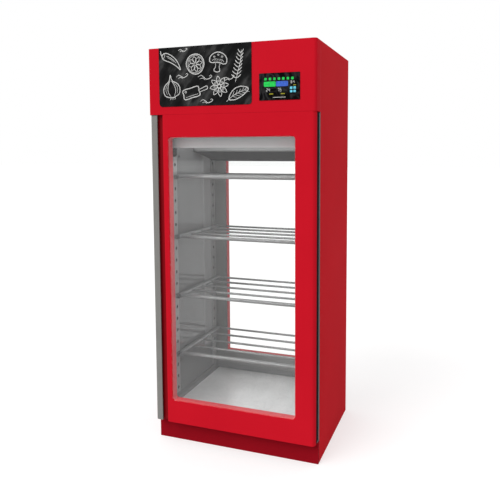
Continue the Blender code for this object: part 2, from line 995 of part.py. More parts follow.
# Compressor: a turned shell on its flange, top to bottom down its outer side
turned = bmesh.new()
shoulder = compressor_height - compressor_dome
profile = [(0, compressor_height)]
for step in range(1, dome_steps + 1):
    angle = pi / 2 * (1 - step / dome_steps)
    profile.append((compressor_radius * cos(angle), shoulder + compressor_dome * sin(angle)))
profile += [
    (compressor_radius, compressor_flange_height),
    (compressor_flange, compressor_flange_height),
    (compressor_flange, 0),
    (0, 0),
]
points = [turned.verts.new((x, 0, z)) for x, z in profile]
for pair in zip(points, points[1:]):
    turned.edges.new(pair)
compressor = settle("compressor", turned, (0, 0, 0), parts, None)
compressor.data.materials.append(paint("compressor", "black enamel"))
compressor.location = (-side + compressor_margin, back - compressor_inset, header_bottom)
screw = compressor.modifiers.new("turn", "SCREW")
screw.steps = compressor_steps
screw.render_steps = compressor_steps
screw.use_merge_vertices = True
screw.merge_threshold = 0.0001

piece(
    "control_box",
    block(
        bmesh.new(),
        (-side + control_margin, front + control_start, header_bottom),
        (-side + control_margin + control_width, front + control_start + control_depth, header_bottom + control_height),
    ),
    "galvanised",
)

# The door turns about this empty, on the hinge pins' axis
door = bpy.data.objects.new("door_hinge", None)
door.location = (hinge_x, hinge_y, door_bottom)
parts.objects.link(door)

# Door skin: the front pressing, the floor of the finger channel, the window rebate and reveal
skin_left = door_left + skin_inset
skin_back = front + skin_depth
skin = pressing(
    "door_skin",
    (skin_left, front, door_bottom),
    (door_right, skin_back, door_top),
    ("+y",),
    sheet,
    "red enamel",
    rounds=(
        ({"x": skin_left, "y": front}, skin_radius_left, 4),
        ({"x": door_right, "y": front}, skin_radius_right, 6),
    ),
    parent=door,
)
channel_start = door_left + grip_wall + gap
shape(
    skin,
    block(bmesh.new(), (channel_start, skin_back - sheet, door_bottom), (skin_left + sheet / 2, skin_back, door_top)),
    "UNION",
)
collar_low, collar_high = grown(window_low, window_high, sheet)
shape(
    skin,
    upright_plate(collar_low, collar_high, front + sheet / 2, front + rebate_depth + sheet, window_radius + sheet),
    "UNION",
)
reveal_low, reveal_high = grown(window_low, window_high, -ledge)
reveal_radius = window_radius - ledge
reveal_outer_low, reveal_outer_high = grown(reveal_low, reveal_high, sheet)
shape(
    skin,
    upright_plate(reveal_outer_low, reveal_outer_high, front + sheet / 2, front + reveal_depth, reveal_radius + sheet),
    "UNION",
)
shape(skin, upright_plate(window_low, window_high, front - overrun, front + rebate_depth, window_radius), "DIFFERENCE")
shape(
    skin,
    upright_plate(reveal_low, reveal_high, front - overrun, front + reveal_depth + overrun, reveal_radius),
    "DIFFERENCE",
)

# Insulated core: a dark band behind the skin, filling it, with the holes for the hinge pins
core_left = door_left + grip_wall + gap
core_right = door_right - core_recess
core_bottom = door_bottom + core_recess
core = piece(
    "door_core",
    block(bmesh.new(), (core_left, skin_back + gap, core_bottom), (core_right, front + reveal_depth, core_top)),
    "dark plastic",
    parent=door,
)
fill_low = (skin_left + sheet + gap, front + sheet + gap, door_bottom + sheet + gap)
fill_high = (door_right - sheet - gap, skin_back + (reveal_depth - skin_depth) / 2, door_top - sheet - gap)
fill = block(bmesh.new(), fill_low, fill_high)
round_off(fill, edges_at(fill, x=fill_low[0], y=fill_low[1]), skin_radius_left - sheet - gap, 4)
round_off(fill, edges_at(fill, x=fill_high[0], y=fill_low[1]), skin_radius_right - sheet - gap, 6)
trim = block(
    bmesh.new(),
    (door_left - overrun, skin_back + gap, core_top),
    (door_right + overrun, skin_back + reveal_depth, door_top + overrun),
)
trim_right = block(
    bmesh.new(),
    (core_right, skin_back + gap, door_bottom - overrun),
    (door_right + overrun, skin_back + reveal_depth, door_top + overrun),
)
shape(core, fill, "UNION")
shape(core, trim, "DIFFERENCE")
shape(core, trim_right, "DIFFERENCE")
bore_low, bore_high = grown(collar_low, collar_high, gap)
shape(
    core,
    upright_plate(bore_low, bore_high, front - overrun, front + reveal_depth + overrun, window_radius + sheet + gap),
    "DIFFERENCE",
)
pin_depth = pin_length + hinge_lift + gap
for end, reach in ((core_top, -pin_depth), (core_bottom, pin_depth)):
    outwards = -overrun if reach > 0 else overrun
    shape(
        core,
        rod(bmesh.new(), (hinge_x, hinge_y, end + outwards), (hinge_x, hinge_y, end + reach), pin_radius + pin_clearance, hinge_sides),
        "DIFFERENCE",
    )

# Inner frame of the door, wider than the reveal, with the second pane and the gasket
frame_start = front + reveal_depth + gap
frame = block(bmesh.new(), (door_left, frame_start, door_bottom), (door_right, door_back, core_top))
inner_frame = piece("door_frame", frame, "grey frame", parent=door)
sight_low, sight_high = grown(window_low, window_high, frame_overlap)
shape(
    inner_frame,
    upright_plate(sight_low, sight_high, frame_start - overrun, door_back + overrun, frame_radius),
    "DIFFERENCE",
)
glass_low, glass_high = grown(window_low, window_high, -gap)
glass_back = front + rebate_depth - gap
piece(
    "door_glass_outer",
    upright_plate(glass_low, glass_high, glass_back - pane, glass_back, window_radius - gap),
    "clear glass",
    parent=door,
)
glass_low, glass_high = grown(sight_low, sight_high, -gap)
piece(
    "door_glass_inner",
    upright_plate(glass_low, glass_high, frame_start, frame_start + pane, frame_radius - gap),
    "clear glass",
    parent=door,
)
seal_low = (door_left + gasket_inset, door_bottom + gasket_inset)
seal_high = (door_right - gasket_inset, core_top - gasket_inset)
seal = piece(
    "door_gasket",
    block(bmesh.new(), (seal_low[0], door_back + gap, seal_low[1]), (seal_high[0], body_front - gap, seal_high[1])),
    "black rubber",
    parent=door,
)
seal_in_low, seal_in_high = grown(seal_low, seal_high, -gasket_width)
shape(
    seal,
    block(
        bmesh.new(),
        (seal_in_low[0], door_back - overrun, seal_in_low[1]),
        (seal_in_high[0], body_front + overrun, seal_in_high[1]),
    ),
    "DIFFERENCE",
)

# Grip profile down the free edge, open towards the finger channel
grip_front = front + grip_setback
folded(
    "door_grip",
    (
        (door_left, front + reveal_depth),
        (door_left, grip_front),
        (door_left + grip_reach, grip_front),
        (door_left + grip_reach, grip_front + grip_return),
    ),
    "z",
    door_bottom,
    door_top,
    grip_wall,
    "grey metal",
    rounds=(({"x": door_left, "y": grip_front}, grip_radius, 6),),
    parent=door,
)

# Hinge brackets: a plate under the header and one on the kick plate, each with its pin
plate_left = hinge_x - hinge_plate_inner
plate_right = hinge_x + hinge_plate_outer
plate_start = hinge_y - hinge_plate_front
top_plate = header_bottom - gap
upper = piece(
    "hinge_bracket_top",
    block(bmesh.new(), (plate_left, plate_start, top_plate - hinge_plate), (plate_right, body_front - gap, top_plate)),
    "galvanised",
)
shape(
    upper,
    rod(
        bmesh.new(),
        (hinge_x, hinge_y, top_plate - hinge_plate / 2),
        (hinge_x, hinge_y, core_top - pin_length),
        pin_radius,
        hinge_sides,
    ),
    "UNION",
)
bottom_plate = door_bottom - hinge_lift
flange_back = front + plinth_recess - gap
lower = piece(
    "hinge_bracket_bottom",
    block(bmesh.new(), (plate_left, plate_start, bottom_plate - hinge_plate), (plate_right, flange_back, bottom_plate)),
    "galvanised",
)
shape(
    lower,
    block(
        bmesh.new(),
        (plate_left, flange_back - hinge_flange, bottom_plate - hinge_plate - hinge_flange_drop),
        (plate_right, flange_back, bottom_plate - hinge_plate / 2),
    ),
    "UNION",
)
shape(
    lower,
    rod(
        bmesh.new(),
        (hinge_x, hinge_y, bottom_plate - hinge_plate / 2),
        (hinge_x, hinge_y, core_bottom + pin_length),
        pin_radius,
        hinge_sides,
    ),
    "UNION",
)
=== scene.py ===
import random
from math import cos, pi, radians, sin

import bmesh
import bpy
from mathutils import Matrix, Vector


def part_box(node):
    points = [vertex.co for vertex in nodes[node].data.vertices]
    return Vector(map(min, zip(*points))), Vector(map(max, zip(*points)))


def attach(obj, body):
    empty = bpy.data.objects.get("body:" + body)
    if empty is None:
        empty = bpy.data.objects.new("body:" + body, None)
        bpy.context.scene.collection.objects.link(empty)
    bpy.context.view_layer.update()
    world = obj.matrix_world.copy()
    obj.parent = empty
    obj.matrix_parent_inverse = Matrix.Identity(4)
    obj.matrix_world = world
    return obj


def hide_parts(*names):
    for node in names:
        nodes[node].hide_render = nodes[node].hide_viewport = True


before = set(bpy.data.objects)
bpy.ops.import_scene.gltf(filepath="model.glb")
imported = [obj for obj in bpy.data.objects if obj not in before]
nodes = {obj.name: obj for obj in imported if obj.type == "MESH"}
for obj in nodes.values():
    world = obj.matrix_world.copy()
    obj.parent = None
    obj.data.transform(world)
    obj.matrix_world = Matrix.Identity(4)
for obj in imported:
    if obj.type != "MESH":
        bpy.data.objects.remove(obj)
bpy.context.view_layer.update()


# Base: two channel rails of galvanised sheet under the floor, the set-back kick plate in front of them
# and a plain sheet behind. All are screwed together from inside. The kick plate and the sheet behind
# are enamelled in the body's red at about half its brightness: painted shade under the door's overhang.
def add(tree, kind, sockets=(), **settings):
    """Adds a node: settings are its own options, sockets its inputs, each a value or another node's output."""
    made = tree.nodes.new(kind)
    for name, value in settings.items():
        setattr(made, name, value)
    for socket, value in dict(sockets).items():
        if isinstance(value, bpy.types.NodeSocket):
            tree.links.new(value, made.inputs[socket])
        else:
            made.inputs[socket].default_value = value
    return made


def new_finish(name, **sockets):
    """A material with a Principled shader: gives the material, its node tree and the shader."""
    made = bpy.data.materials.new(name)
    made.use_nodes = True
    shader = made.node_tree.nodes["Principled BSDF"]
    for socket, value in sockets.items():
        shader.inputs[socket.replace("_", " ")].default_value = value
    return made, made.node_tree, shader


def grain(tree, scale, detail=2.0, stretch=(1, 1, 1)):
    """A noise on Object coordinates, drawn out along the axes where stretch is small."""
    place = add(tree, "ShaderNodeTexCoord").outputs["Object"]
    mapped = add(tree, "ShaderNodeMapping", {"Vector": place, "Scale": stretch}).outputs["Vector"]
    noise = add(tree, "ShaderNodeTexNoise", {"Vector": mapped, "Scale": scale, "Detail": detail})
    return noise.outputs["Fac"]


def between(tree, factor, low, high):
    """Carries a 0 to 1 value over to the range from low to high."""
    return add(tree, "ShaderNodeMapRange", {"Value": factor, "To Min": low, "To Max": high}).outputs["Result"]


def tones(tree, factor, *stops):
    """Turns a value into colour through the given stops of (place, colour)."""
    ramp = add(tree, "ShaderNodeValToRGB", {"Fac": factor})
    keys = ramp.color_ramp.elements
    while len(keys) < len(stops):
        keys.new(0.5)
    for key, (place, colour) in zip(keys, stops):
        key.position = place
        key.color = (*colour, 1)
    return ramp.outputs["Color"]


def bump(tree, shader, height, strength, distance):
    """Raises the surface by a height texture."""
    made = add(tree, "ShaderNodeBump", {"Height": height, "Strength": strength, "Distance": distance})
    tree.links.new(made.outputs["Normal"], shader.inputs["Normal"])


def enamel(name, colour, gloss=0.1, roughness=0.38):
    """Baked enamel: fine orange peel in the gloss and a trace of tone from the spraying."""
    made, tree, shader = new_finish(name, Specular_IOR_Level=gloss)
    drift = grain(tree, 2.6, 3.0)
    paler = tuple(min(1, channel * 1.03 + 0.0004) for channel in colour)
    darker = tuple(channel * 0.965 for channel in colour)
    tree.links.new(tones(tree, drift, (0.3, darker), (0.7, paler)), shader.inputs["Base Color"])
    peel = grain(tree, 620, 2.0)
    tree.links.new(between(tree, peel, roughness - 0.05, roughness + 0.07), shader.inputs["Roughness"])
    bump(tree, shader, peel, 0.10, 0.0004)
    return made


def reckon(tree, operation, *values, **settings):
    """A sum on numbers, each a value or another node's output."""
    return add(tree, "ShaderNodeMath", dict(enumerate(values)), operation=operation, **settings).outputs[0]


def steel(name, colour, along, roughness, metallic=0.75, gloss=0.5, depth=0.05):
    """Rolled steel: fine grain lines run along one axis and change its tone, gloss and height a little."""
    made, tree, shader = new_finish(name, Metallic=metallic, Specular_IOR_Level=gloss)
    stretch = [420.0, 420.0, 420.0]
    stretch["xyz".index(along)] = 5.0
    lines = grain(tree, 1.0, 3.0, stretch)
    mixed = reckon(tree, "ADD", lines, grain(tree, 7.0, 3.0))
    darker = tuple(channel * 0.88 for channel in colour)
    paler = tuple(min(1, channel * 1.10) for channel in colour)
    tone = tones(tree, between(tree, mixed, -0.5, 0.5), (0.25, darker), (0.75, paler))
    tree.links.new(tone, shader.inputs["Base Color"])
    tree.links.new(between(tree, lines, roughness * 0.8, roughness * 1.3), shader.inputs["Roughness"])
    bump(tree, shader, lines, depth, 0.0003)
    return made


def dress(finish, *names):
    """Gives CAD nodes their finish."""
    for name in names:
        slots = nodes[name].data.materials
        slots.clear()
        slots.append(finish)


def galvanised(name):
    """Zinc-dipped sheet with its spangle: pale and darker crystal flakes a few millimetres across."""
    made, tree, shader = new_finish(name, Metallic=0.85)
    place = add(tree, "ShaderNodeTexCoord").outputs["Object"]
    flakes = add(tree, "ShaderNodeTexVoronoi", {"Vector": place, "Scale": 130.0, "Randomness": 1.0})
    flake = add(tree, "ShaderNodeSeparateColor", {"Color": flakes.outputs["Color"]}).outputs["Red"]
    tone = tones(tree, flake, (0.0, (0.30, 0.31, 0.32)), (1.0, (0.47, 0.48, 0.49)))
    tree.links.new(tone, shader.inputs["Base Color"])
    tree.links.new(between(tree, flake, 0.34, 0.52), shader.inputs["Roughness"])
    bump(tree, shader, flake, 0.06, 0.0003)
    return made


# Painted shade: the kick plate's red is the door's red at about half its brightness.
kick_shade_red = enamel("kick_plate_shaded_red", (0.300, 0.0052, 0.0125), gloss=0.01, roughness=0.6)
zinc = galvanised("galvanised_sheet")
dress(kick_shade_red, "plinth_front", "plinth_rear")
dress(zinc, "base_rail_left", "base_rail_right")

# Insulated body: foam panels between coated sheets make the floor, ceiling and sides of the chamber.
# Their inner faces are stainless with a soft mirror to them. Under each pilaster a near-black strip
# is painted on the wall: painted shade, which shows through the pilaster's holes so that they read dark.
def object_axes(tree):
    """The x, y and z of a place on the object."""
    return add(tree, "ShaderNodeSeparateXYZ", {0: add(tree, "ShaderNodeTexCoord").outputs["Object"]}).outputs


def fade(tree, value, start, end, low=0.0, high=1.0):
    """Goes from low to high while a value goes from start to end, and stays level outside."""
    limits = {"From Min": start, "From Max": end, "To Min": low, "To Max": high}
    return add(tree, "ShaderNodeMapRange", {"Value": value, **limits}).outputs["Result"]


def brighten(tree, colour, gain):
    """Multiplies a colour."""
    return add(tree, "ShaderNodeVectorMath", {0: colour, "Scale": gain}, operation="SCALE").outputs["Vector"]


def repaint(finish, share, colour):
    """Lays another colour over a finish where share is 1."""
    tree = finish.node_tree
    base = tree.nodes["Principled BSDF"].inputs["Base Color"]
    mixed = add(tree, "ShaderNodeMix", {"Factor": share}, data_type="RGBA")
    tree.links.new(base.links[0].from_socket, mixed.inputs[6])
    mixed.inputs[7].default_value = (*colour, 1)
    tree.links.new(mixed.outputs[2], base)


liner_steel = steel(
    "liner_steel", (0.185, 0.186, 0.188), "z", roughness=0.03, metallic=0.0, gloss=0.28, depth=0.002
)
wall_steel, tree, shader = new_finish("side_wall_steel", Metallic=0.0)
lines = grain(tree, 1.0, 3.0, (420.0, 420.0, 5.0))
shades = (0.25, (0.147, 0.148, 0.150)), (0.75, (0.169, 0.170, 0.172))
plain = tones(tree, between(tree, lines, 0.2, 0.8), *shades)
place = object_axes(tree)
depth, level = place["Y"], place["Z"]
# The tones by place below are no finish that the real steel is known to have. They were matched in one
# view, where they stand in for light and for what the wall mirrors: a pale band at the rear, and a
# paler rear part at the top.
raised = fade(tree, level, 0.360, 0.385)
lowered = fade(tree, level, 1.600, 1.580)
corner = fade(tree, depth, 0.142, 0.286, 1.05, 1.75)
band = reckon(tree, "MULTIPLY", reckon(tree, "MULTIPLY", raised, lowered), corner)
rearward = reckon(tree, "MULTIPLY_ADD", fade(tree, depth, 0.124, 0.142), band, 1.0)
upper = fade(tree, level, 1.40, 1.50)
inner = fade(tree, depth, -0.02, 0.14, 0.0, 0.7)
gain = reckon(tree, "MULTIPLY_ADD", upper, inner, rearward)
tree.links.new(brighten(tree, plain, gain), shader.inputs["Base Color"])
# Painted shade: a near-black strip without gloss on the wall under each pilaster, seen through its holes.
hole_shade_half_width = 0.017
painted_hole_shade = 0.0
for post in ("pilaster_front_left", "pilaster_rear_left"):
    low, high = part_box(post)
    away = reckon(tree, "ABSOLUTE", reckon(tree, "SUBTRACT", depth, (low.y + high.y) / 2))
    painted_hole_shade = reckon(tree, "MAXIMUM", painted_hole_shade, reckon(tree, "LESS_THAN", away, hole_shade_half_width))
repaint(wall_steel, painted_hole_shade, (0.006, 0.006, 0.006))
tree.links.new(between(tree, painted_hole_shade, 0.28, 0.0), shader.inputs["Specular IOR Level"])
tree.links.new(between(tree, lines, 0.02, 0.04), shader.inputs["Roughness"])
dress(enamel("floor_panel_red", (0.597, 0.0060, 0.0160), gloss=0.1), "floor_panel")
dress(wall_steel, "side_wall_left", "side_wall_right")
dress(liner_steel, "ceiling_panel")

# Side sheets: one of red enamelled steel over the panels on each side, from the floor to the roof. Its
# front edge is left as it was cut, so bare grey steel shows there.
side_red = enamel("side_sheet_red", (0.590, 0.0110, 0.0200), gloss=0.01, roughness=0.6)
cut_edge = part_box("side_skin_right")[0].y + 0.0003
cut = reckon(side_red.node_tree, "LESS_THAN", object_axes(side_red.node_tree)["Y"], cut_edge)
repaint(side_red, cut, (0.330, 0.330, 0.325))
dress(side_red, "side_skin_left", "side_skin_right")

# Rear wall: a red foam panel with a square-cornered window through it and a pane in each face.
# The stainless liner sheet lies on its inner side, cut out round the same opening.
def clear_glass(name, least, most):
    """Float glass in air: a clear pane with a faint mirror image that strengthens at a shallow angle."""
    made = bpy.data.materials.new(name)
    made.use_nodes = True
    tree = made.node_tree
    tree.nodes.clear()
    facing = add(tree, "ShaderNodeLayerWeight", {"Blend": 0.3}).outputs["Facing"]
    steep = reckon(tree, "POWER", facing, 4.0)
    share = between(tree, steep, least, most)
    through = add(tree, "ShaderNodeBsdfTransparent", {"Color": (0.997, 0.999, 0.998, 1)})
    mirror = add(tree, "ShaderNodeBsdfGlossy", {"Color": (1, 1, 1, 1), "Roughness": 0.01})
    mixed = add(tree, "ShaderNodeMixShader", {0: share, 1: through.outputs[0], 2: mirror.outputs[0]})
    add(tree, "ShaderNodeOutputMaterial", {"Surface": mixed.outputs[0]})
    return made


# The rear wall's red is paler than the body's other reds: painted light that lifts the window's reveal out of its
# shade.
rear_lit_red = enamel("rear_wall_painted_light_red", (0.700, 0.0050, 0.0140), gloss=0.04, roughness=0.4)
rear_liner_steel = steel(
    "rear_liner_steel", (0.216, 0.215, 0.211), "z", roughness=0.15, metallic=0.0, gloss=0.3, depth=0.006
)
# As on the side walls, the tones by height were matched in one view, where they stand in for light.
tree = rear_liner_steel.node_tree
base = tree.nodes["Principled BSDF"].inputs["Base Color"]
level = object_axes(tree)["Z"]
rising = fade(tree, level, 0.5, 1.1, 0.93, 1.10)
upper = fade(tree, level, 1.33, 1.48, 1.0, 1.75)
gain = reckon(tree, "MULTIPLY", rising, upper)
tree.links.new(brighten(tree, base.links[0].from_socket, gain), base)
rear_pane = clear_glass("rear_pane_glass", 0.004, 0.20)
dress(rear_lit_red, "rear_wall")
dress(rear_liner_steel, "rear_liner")
dress(rear_pane, "rear_glass_outer", "rear_glass_inner")

# Floor tray of the chamber: pale stainless sheet with a fine pressed grain, turned up at the sides
# with a round cove so that it wipes clean, and up again at the back. It lies loose on the panel.
def block(low, high):
    """A box between two corners."""
    low, high = Vector(low), Vector(high)
    bm = bmesh.new()
    size = Matrix.Diagonal((*(high - low), 1))
    bmesh.ops.create_cube(bm, size=1, matrix=Matrix.Translation((low + high) / 2) @ size)
    return bm


def lies_in(item, axis, place):
    """Whether an edge or a face lies wholly in a plane across an axis."""
    return all(abs(vert.co["xyz".index(axis)] - place) < 1e-5 for vert in item.verts)


def at(bm, **planes):
    """The edges that lie in all the given planes, such as x=0.2, z=0."""
    return [edge for edge in bm.edges if all(lies_in(edge, *plane) for plane in planes.items())]


def turn_edges(bm, edges, radius, segments):
    """Rounds edges as a press brake or a file would."""
    bmesh.ops.bevel(
        bm,
        geom=edges,
        affect="EDGES",
        offset=radius,
        segments=segments,
        profile=0.5,
        material=-1,
        clamp_overlap=True,
    )


def cut_open(bm, **planes):
    """Takes away the faces in any of the given planes."""
    gone = [face for face in bm.faces if any(lies_in(face, *plane) for plane in planes.items())]
    bmesh.ops.delete(bm, geom=gone, context="FACES")


def fit(name, bm, finish, body="cabinet", stands_for=(), wall=None):
    """A finished piece on its body, in place of any CAD nodes it stands for, with a wall if it is sheet."""
    mesh = bpy.data.meshes.new(name)
    bm.to_mesh(mesh)
    bm.free()
    mesh.materials.append(finish)
    mesh.shade_smooth()
    mesh.set_sharp_from_angle(angle=radians(35))
    piece = bpy.data.objects.new(name, mesh)
    bpy.context.scene.collection.objects.link(piece)
    if wall:
        solid = piece.modifiers.new("wall", "SOLIDIFY")
        solid.thickness = wall
        solid.offset = -1
        solid.use_even_offset = True
    flats = piece.modifiers.new("flats", "WEIGHTED_NORMAL")
    flats.weight = 100
    flats.keep_sharp = True
    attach(piece, body)
    if stands_for:
        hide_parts(*stands_for)
    return piece


def tray_steel(name):
    """Pale stainless with a pressed grain: bright and dull flecks over a haze."""
    made, tree, shader = new_finish(name, Specular_IOR_Level=0.5)
    fleck = grain(tree, 330, 3.0)
    haze = grain(tree, 9, 3.0)
    mixed = reckon(tree, "ADD", fleck, between(tree, haze, -0.12, 0.12))
    # As on the walls, the tones by place were matched in one view, where they stand in for light: paler
    # towards the sides, darker at the back, and more like metal in the middle of the front.
    place = object_axes(tree)
    aside = reckon(tree, "ABSOLUTE", place["X"])
    edge = fade(tree, aside, 0.30, 0.385, 0.0, 0.04)
    back = fade(tree, place["Y"], 0.20, 0.285, 0.0, -0.16)
    mixed = reckon(tree, "ADD", mixed, reckon(tree, "ADD", edge, back))
    greys = ((0.10, 0.40), (0.36, 0.68), (0.50, 0.86), (0.60, 0.98))
    tone = tones(tree, mixed, *((stop, (grey, grey, grey)) for stop, grey in greys))
    tree.links.new(tone, shader.inputs["Base Color"])
    middle = fade(tree, aside, 0.14, 0.34, 0.35, 0.0)
    forward = fade(tree, place["Y"], 0.0, 0.18, 1.0, 0.0)
    tree.links.new(reckon(tree, "MULTIPLY", middle, forward), shader.inputs["Metallic"])
    tree.links.new(between(tree, fleck, 0.28, 0.45), shader.inputs["Roughness"])
    bump(tree, shader, fleck, 0.25, 0.0006)
    return made


tray_low, tray_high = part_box("floor_liner")
side_cove = 0.025
back_cove = 0.004
flat_enough = 0.94
tray = block(tray_low, tray_high)
coved = at(tray, x=tray_low.x, z=tray_low.z) + at(tray, x=tray_high.x, z=tray_low.z)
turn_edges(tray, coved, side_cove, 10)
turn_edges(tray, at(tray, y=tray_high.y, z=tray_low.z), back_cove, 4)
cut_open(tray, z=tray_high.z, y=tray_low.y)
tray = fit("chamber_floor_tray", tray, tray_steel("tray_steel"), stands_for=["floor_liner"], wall=0.002)
# The coves and the turned-up sides and back take a darker steel than the flat floor of the same sheet: painted
# shade where the sheet stands upright.
upstand_shaded_steel = steel(
    "tray_upstand_shaded_steel", (0.175, 0.176, 0.178), "y", roughness=0.15, metallic=0.0, gloss=0.25
)
tray.data.materials.append(upstand_shaded_steel)
for face in tray.data.polygons:
    face.material_index = int(abs(face.normal.z) < flat_enough)

# Pilasters: four stainless channels screwed to the side walls, each with a column of slots that take
# the runners' hooks. Painted shade fills an oval round each slot, so that it reads as large as the real
# one. Runners are strips folded to a channel, hooked front and rear.
post_steel = steel("pilaster_steel", (0.340, 0.341, 0.343), "z", roughness=0.1, metallic=0.0, gloss=0.3)
rear_post_steel = steel(
    "rear_pilaster_steel", (0.330, 0.331, 0.333), "z", roughness=0.1, metallic=0.0, gloss=0.1
)
runner_steel = steel("runner_steel", (0.220, 0.221, 0.223), "y", roughness=0.1, metallic=0.0, gloss=0.3)
foot_to_slot = 0.030
pitches = 19
slot_shade_half_width = 0.0076
slot_shade_half_height = 0.0094
for made, post, slot_to_head, slot_shade_tone in (
    (post_steel, "pilaster_front_left", 0.042, 0.012),
    (rear_post_steel, "pilaster_rear_left", 0.016, 0.110),
):
    low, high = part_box(post)
    first = low.z + foot_to_slot
    pitch = (high.z - slot_to_head - first) / pitches
    tree = made.node_tree
    place = object_axes(tree)
    across = reckon(tree, "SUBTRACT", place["Y"], (low.y + high.y) / 2)
    across = reckon(tree, "DIVIDE", across, slot_shade_half_width)
    upward = reckon(tree, "SUBTRACT", place["Z"], first - pitch / 2)
    upward = reckon(tree, "SUBTRACT", reckon(tree, "FLOORED_MODULO", upward, pitch), pitch / 2)
    upward = reckon(tree, "DIVIDE", upward, slot_shade_half_height)
    away = reckon(tree, "ADD", reckon(tree, "POWER", across, 2.0), reckon(tree, "POWER", upward, 2.0))
    # Painted shade in an oval round each slot, without gloss: near-black on the front pilasters, paler on the
    # rear.
    lip = reckon(tree, "LESS_THAN", away, 1.0)
    repaint(made, lip, (slot_shade_tone, slot_shade_tone, slot_shade_tone))
    gloss = tree.nodes["Principled BSDF"].inputs["Specular IOR Level"]
    tree.links.new(between(tree, lip, gloss.default_value, 0.0), gloss)
for hand in ("left", "right"):
    dress(post_steel, f"pilaster_front_{hand}")
    dress(rear_post_steel, f"pilaster_rear_{hand}")
    for number in (1, 2, 3, 4):
        dress(runner_steel, f"runner_{number}_{hand}")

# Shelves: five round tubes across, welded between two heavier side bars with plugged ends. Each
# shelf slides out on its runners. Bright stainless, with a small bead of weld at every joint.
tube_steel = steel("tube_steel", (0.230, 0.230, 0.232), "x", roughness=0.12, metallic=0.0, gloss=0.6)
side_bar = 0.010
front_tube = 0.0097
cross_tube = 0.006
plug_round = 0.003
end_inset = 0.009
end_nudge = 0.0018
weld = 0.0022
weld_seat = side_bar * 0.86
weld_length = 0.0045
weld_edge = 0.0001


def tube(bm, start, end, radius, sides, taper=None):
    """Adds a round bar, or a cone where taper is its end's radius."""
    start, end = Vector(start), Vector(end)
    turn = (end - start).to_track_quat("Z", "Y").to_matrix().to_4x4()
    place = Matrix.Translation((start + end) / 2) @ turn
    return bmesh.ops.create_cone(
        bm,
        cap_ends=True,
        segments=sides,
        radius1=radius,
        radius2=radius if taper is None else taper,
        depth=(end - start).length,
        matrix=place,
    )["verts"]


for number in (1, 2, 3, 4):
    low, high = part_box(f"shelf_{number}")
    level = (low.z + high.z) / 2
    bar_x = high.x - side_bar
    shelf = bmesh.new()
    for x in (-bar_x, bar_x):
        tube(shelf, (x, low.y, level), (x, high.y, level), side_bar, 32)
    turn_edges(shelf, at(shelf, y=low.y) + at(shelf, y=high.y), plug_round, 3)
    first = low.y + end_inset
    last = high.y - end_inset
    for place in range(5):
        along = first + (last - first) * place / 4
        radius = front_tube if place == 0 else cross_tube
        if place in (0, 4):
            along += end_nudge * (1 if place == 0 else -1)
        tube(shelf, (-bar_x, along, level), (bar_x, along, level), radius, 32)
        for x, inward in ((-bar_x + weld_seat, weld_length), (bar_x - weld_seat, -weld_length)):
            bead = (x, along, level), (x + inward, along, level)
            tube(shelf, *bead, radius + weld, 24, taper=radius + weld_edge)
    fit(f"tube_shelf_{number}", shelf, tube_steel, f"shelf_{number}_body", [f"shelf_{number}"])

# Valance: a stainless strip folded to an L behind the head of the door. It hides the opal lamp bar.
# The probe box is a small moulding of dark plastic on the left wall, over the front pilaster, with a
# grommet beside it where its cable goes into the wall.
valance_steel = steel("valance_steel", (0.67, 0.675, 0.685), "x", roughness=0.3, metallic=0.0, gloss=0.4)
opal, tree, shader = new_finish("opal_lamp_cover", Base_Color=(0.82, 0.82, 0.80, 1), Specular_IOR_Level=0.4)
tree.links.new(between(tree, grain(tree, 200), 0.35, 0.5), shader.inputs["Roughness"])
dress(valance_steel, "valance")
dress(opal, "lamp_bar")


def moulded(name, colour, roughness, gloss=0.3):
    """Moulded plastic with a fine spark-eroded grain."""
    made, tree, shader = new_finish(name, Specular_IOR_Level=gloss)
    pits = grain(tree, 900, 2.0)
    darker = tuple(channel * 0.9 for channel in colour)
    paler = tuple(min(1, channel * 1.12) for channel in colour)
    tree.links.new(tones(tree, pits, (0.35, darker), (0.65, paler)), shader.inputs["Base Color"])
    tree.links.new(between(tree, pits, roughness - 0.06, roughness + 0.08), shader.inputs["Roughness"])
    bump(tree, shader, pits, 0.12, 0.0003)
    return made


dark_moulding = moulded("dark_moulding", (0.012, 0.012, 0.013), roughness=0.7, gloss=0.08)
dress(dark_moulding, "probe_box")
wall_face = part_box("side_wall_left")[1].x
grommet_y, grommet_z = -0.142, 1.532
grommet = bmesh.new()
for rise, radius, end_radius in ((0.003, 0.0055, 0.004), (0.001, 0.0075, 0.007)):
    start = (wall_face + 0.0002, grommet_y, grommet_z)
    tube(grommet, start, (wall_face + rise, grommet_y, grommet_z), radius, 24, taper=end_radius)
fit("cable_grommet", grommet, dark_moulding)

# Evaporator: a stainless fascia with round lower corners and a rolled lip hides it from the front,
# with a sloping drip pan under it. Behind stand the finned coil and the plate that holds two fans.
fascia_steel = steel("fascia_steel", (0.260, 0.260, 0.262), "x", roughness=0.24, metallic=0.0, gloss=0.3)
# The drip pan's near-black tone is painted shade: its face looks down into the dark of the chamber.
pan_shaded_steel = steel("pan_shaded_steel", (0.030, 0.030, 0.031), "x", roughness=0.7, metallic=0.0, gloss=0.0)
fascia_low, fascia_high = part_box("evaporator_fascia")
fascia_corner = 0.025
rolled_lip = 0.010
fascia = block(fascia_low, fascia_high)
corners = at(fascia, x=fascia_low.x, z=fascia_low.z) + at(fascia, x=fascia_high.x, z=fascia_low.z)
turn_edges(fascia, corners, fascia_corner, 10)
lip_top = fascia_low.z + fascia_corner + 1e-5
lip = [edge for edge in at(fascia, y=fascia_low.y) if all(vert.co.z < lip_top for vert in edge.verts)]
turn_edges(fascia, lip, rolled_lip, 7)
cut_open(fascia, y=fascia_high.y, z=fascia_high.z)
fit("evaporator_front", fascia, fascia_steel, stands_for=["evaporator_fascia"], wall=0.0015)
dress(pan_shaded_steel, "evaporator_pan")
plate_steel = steel("fan_plate_steel", (0.33, 0.33, 0.335), "x", roughness=0.3)
dress(plate_steel, "fan_plate")


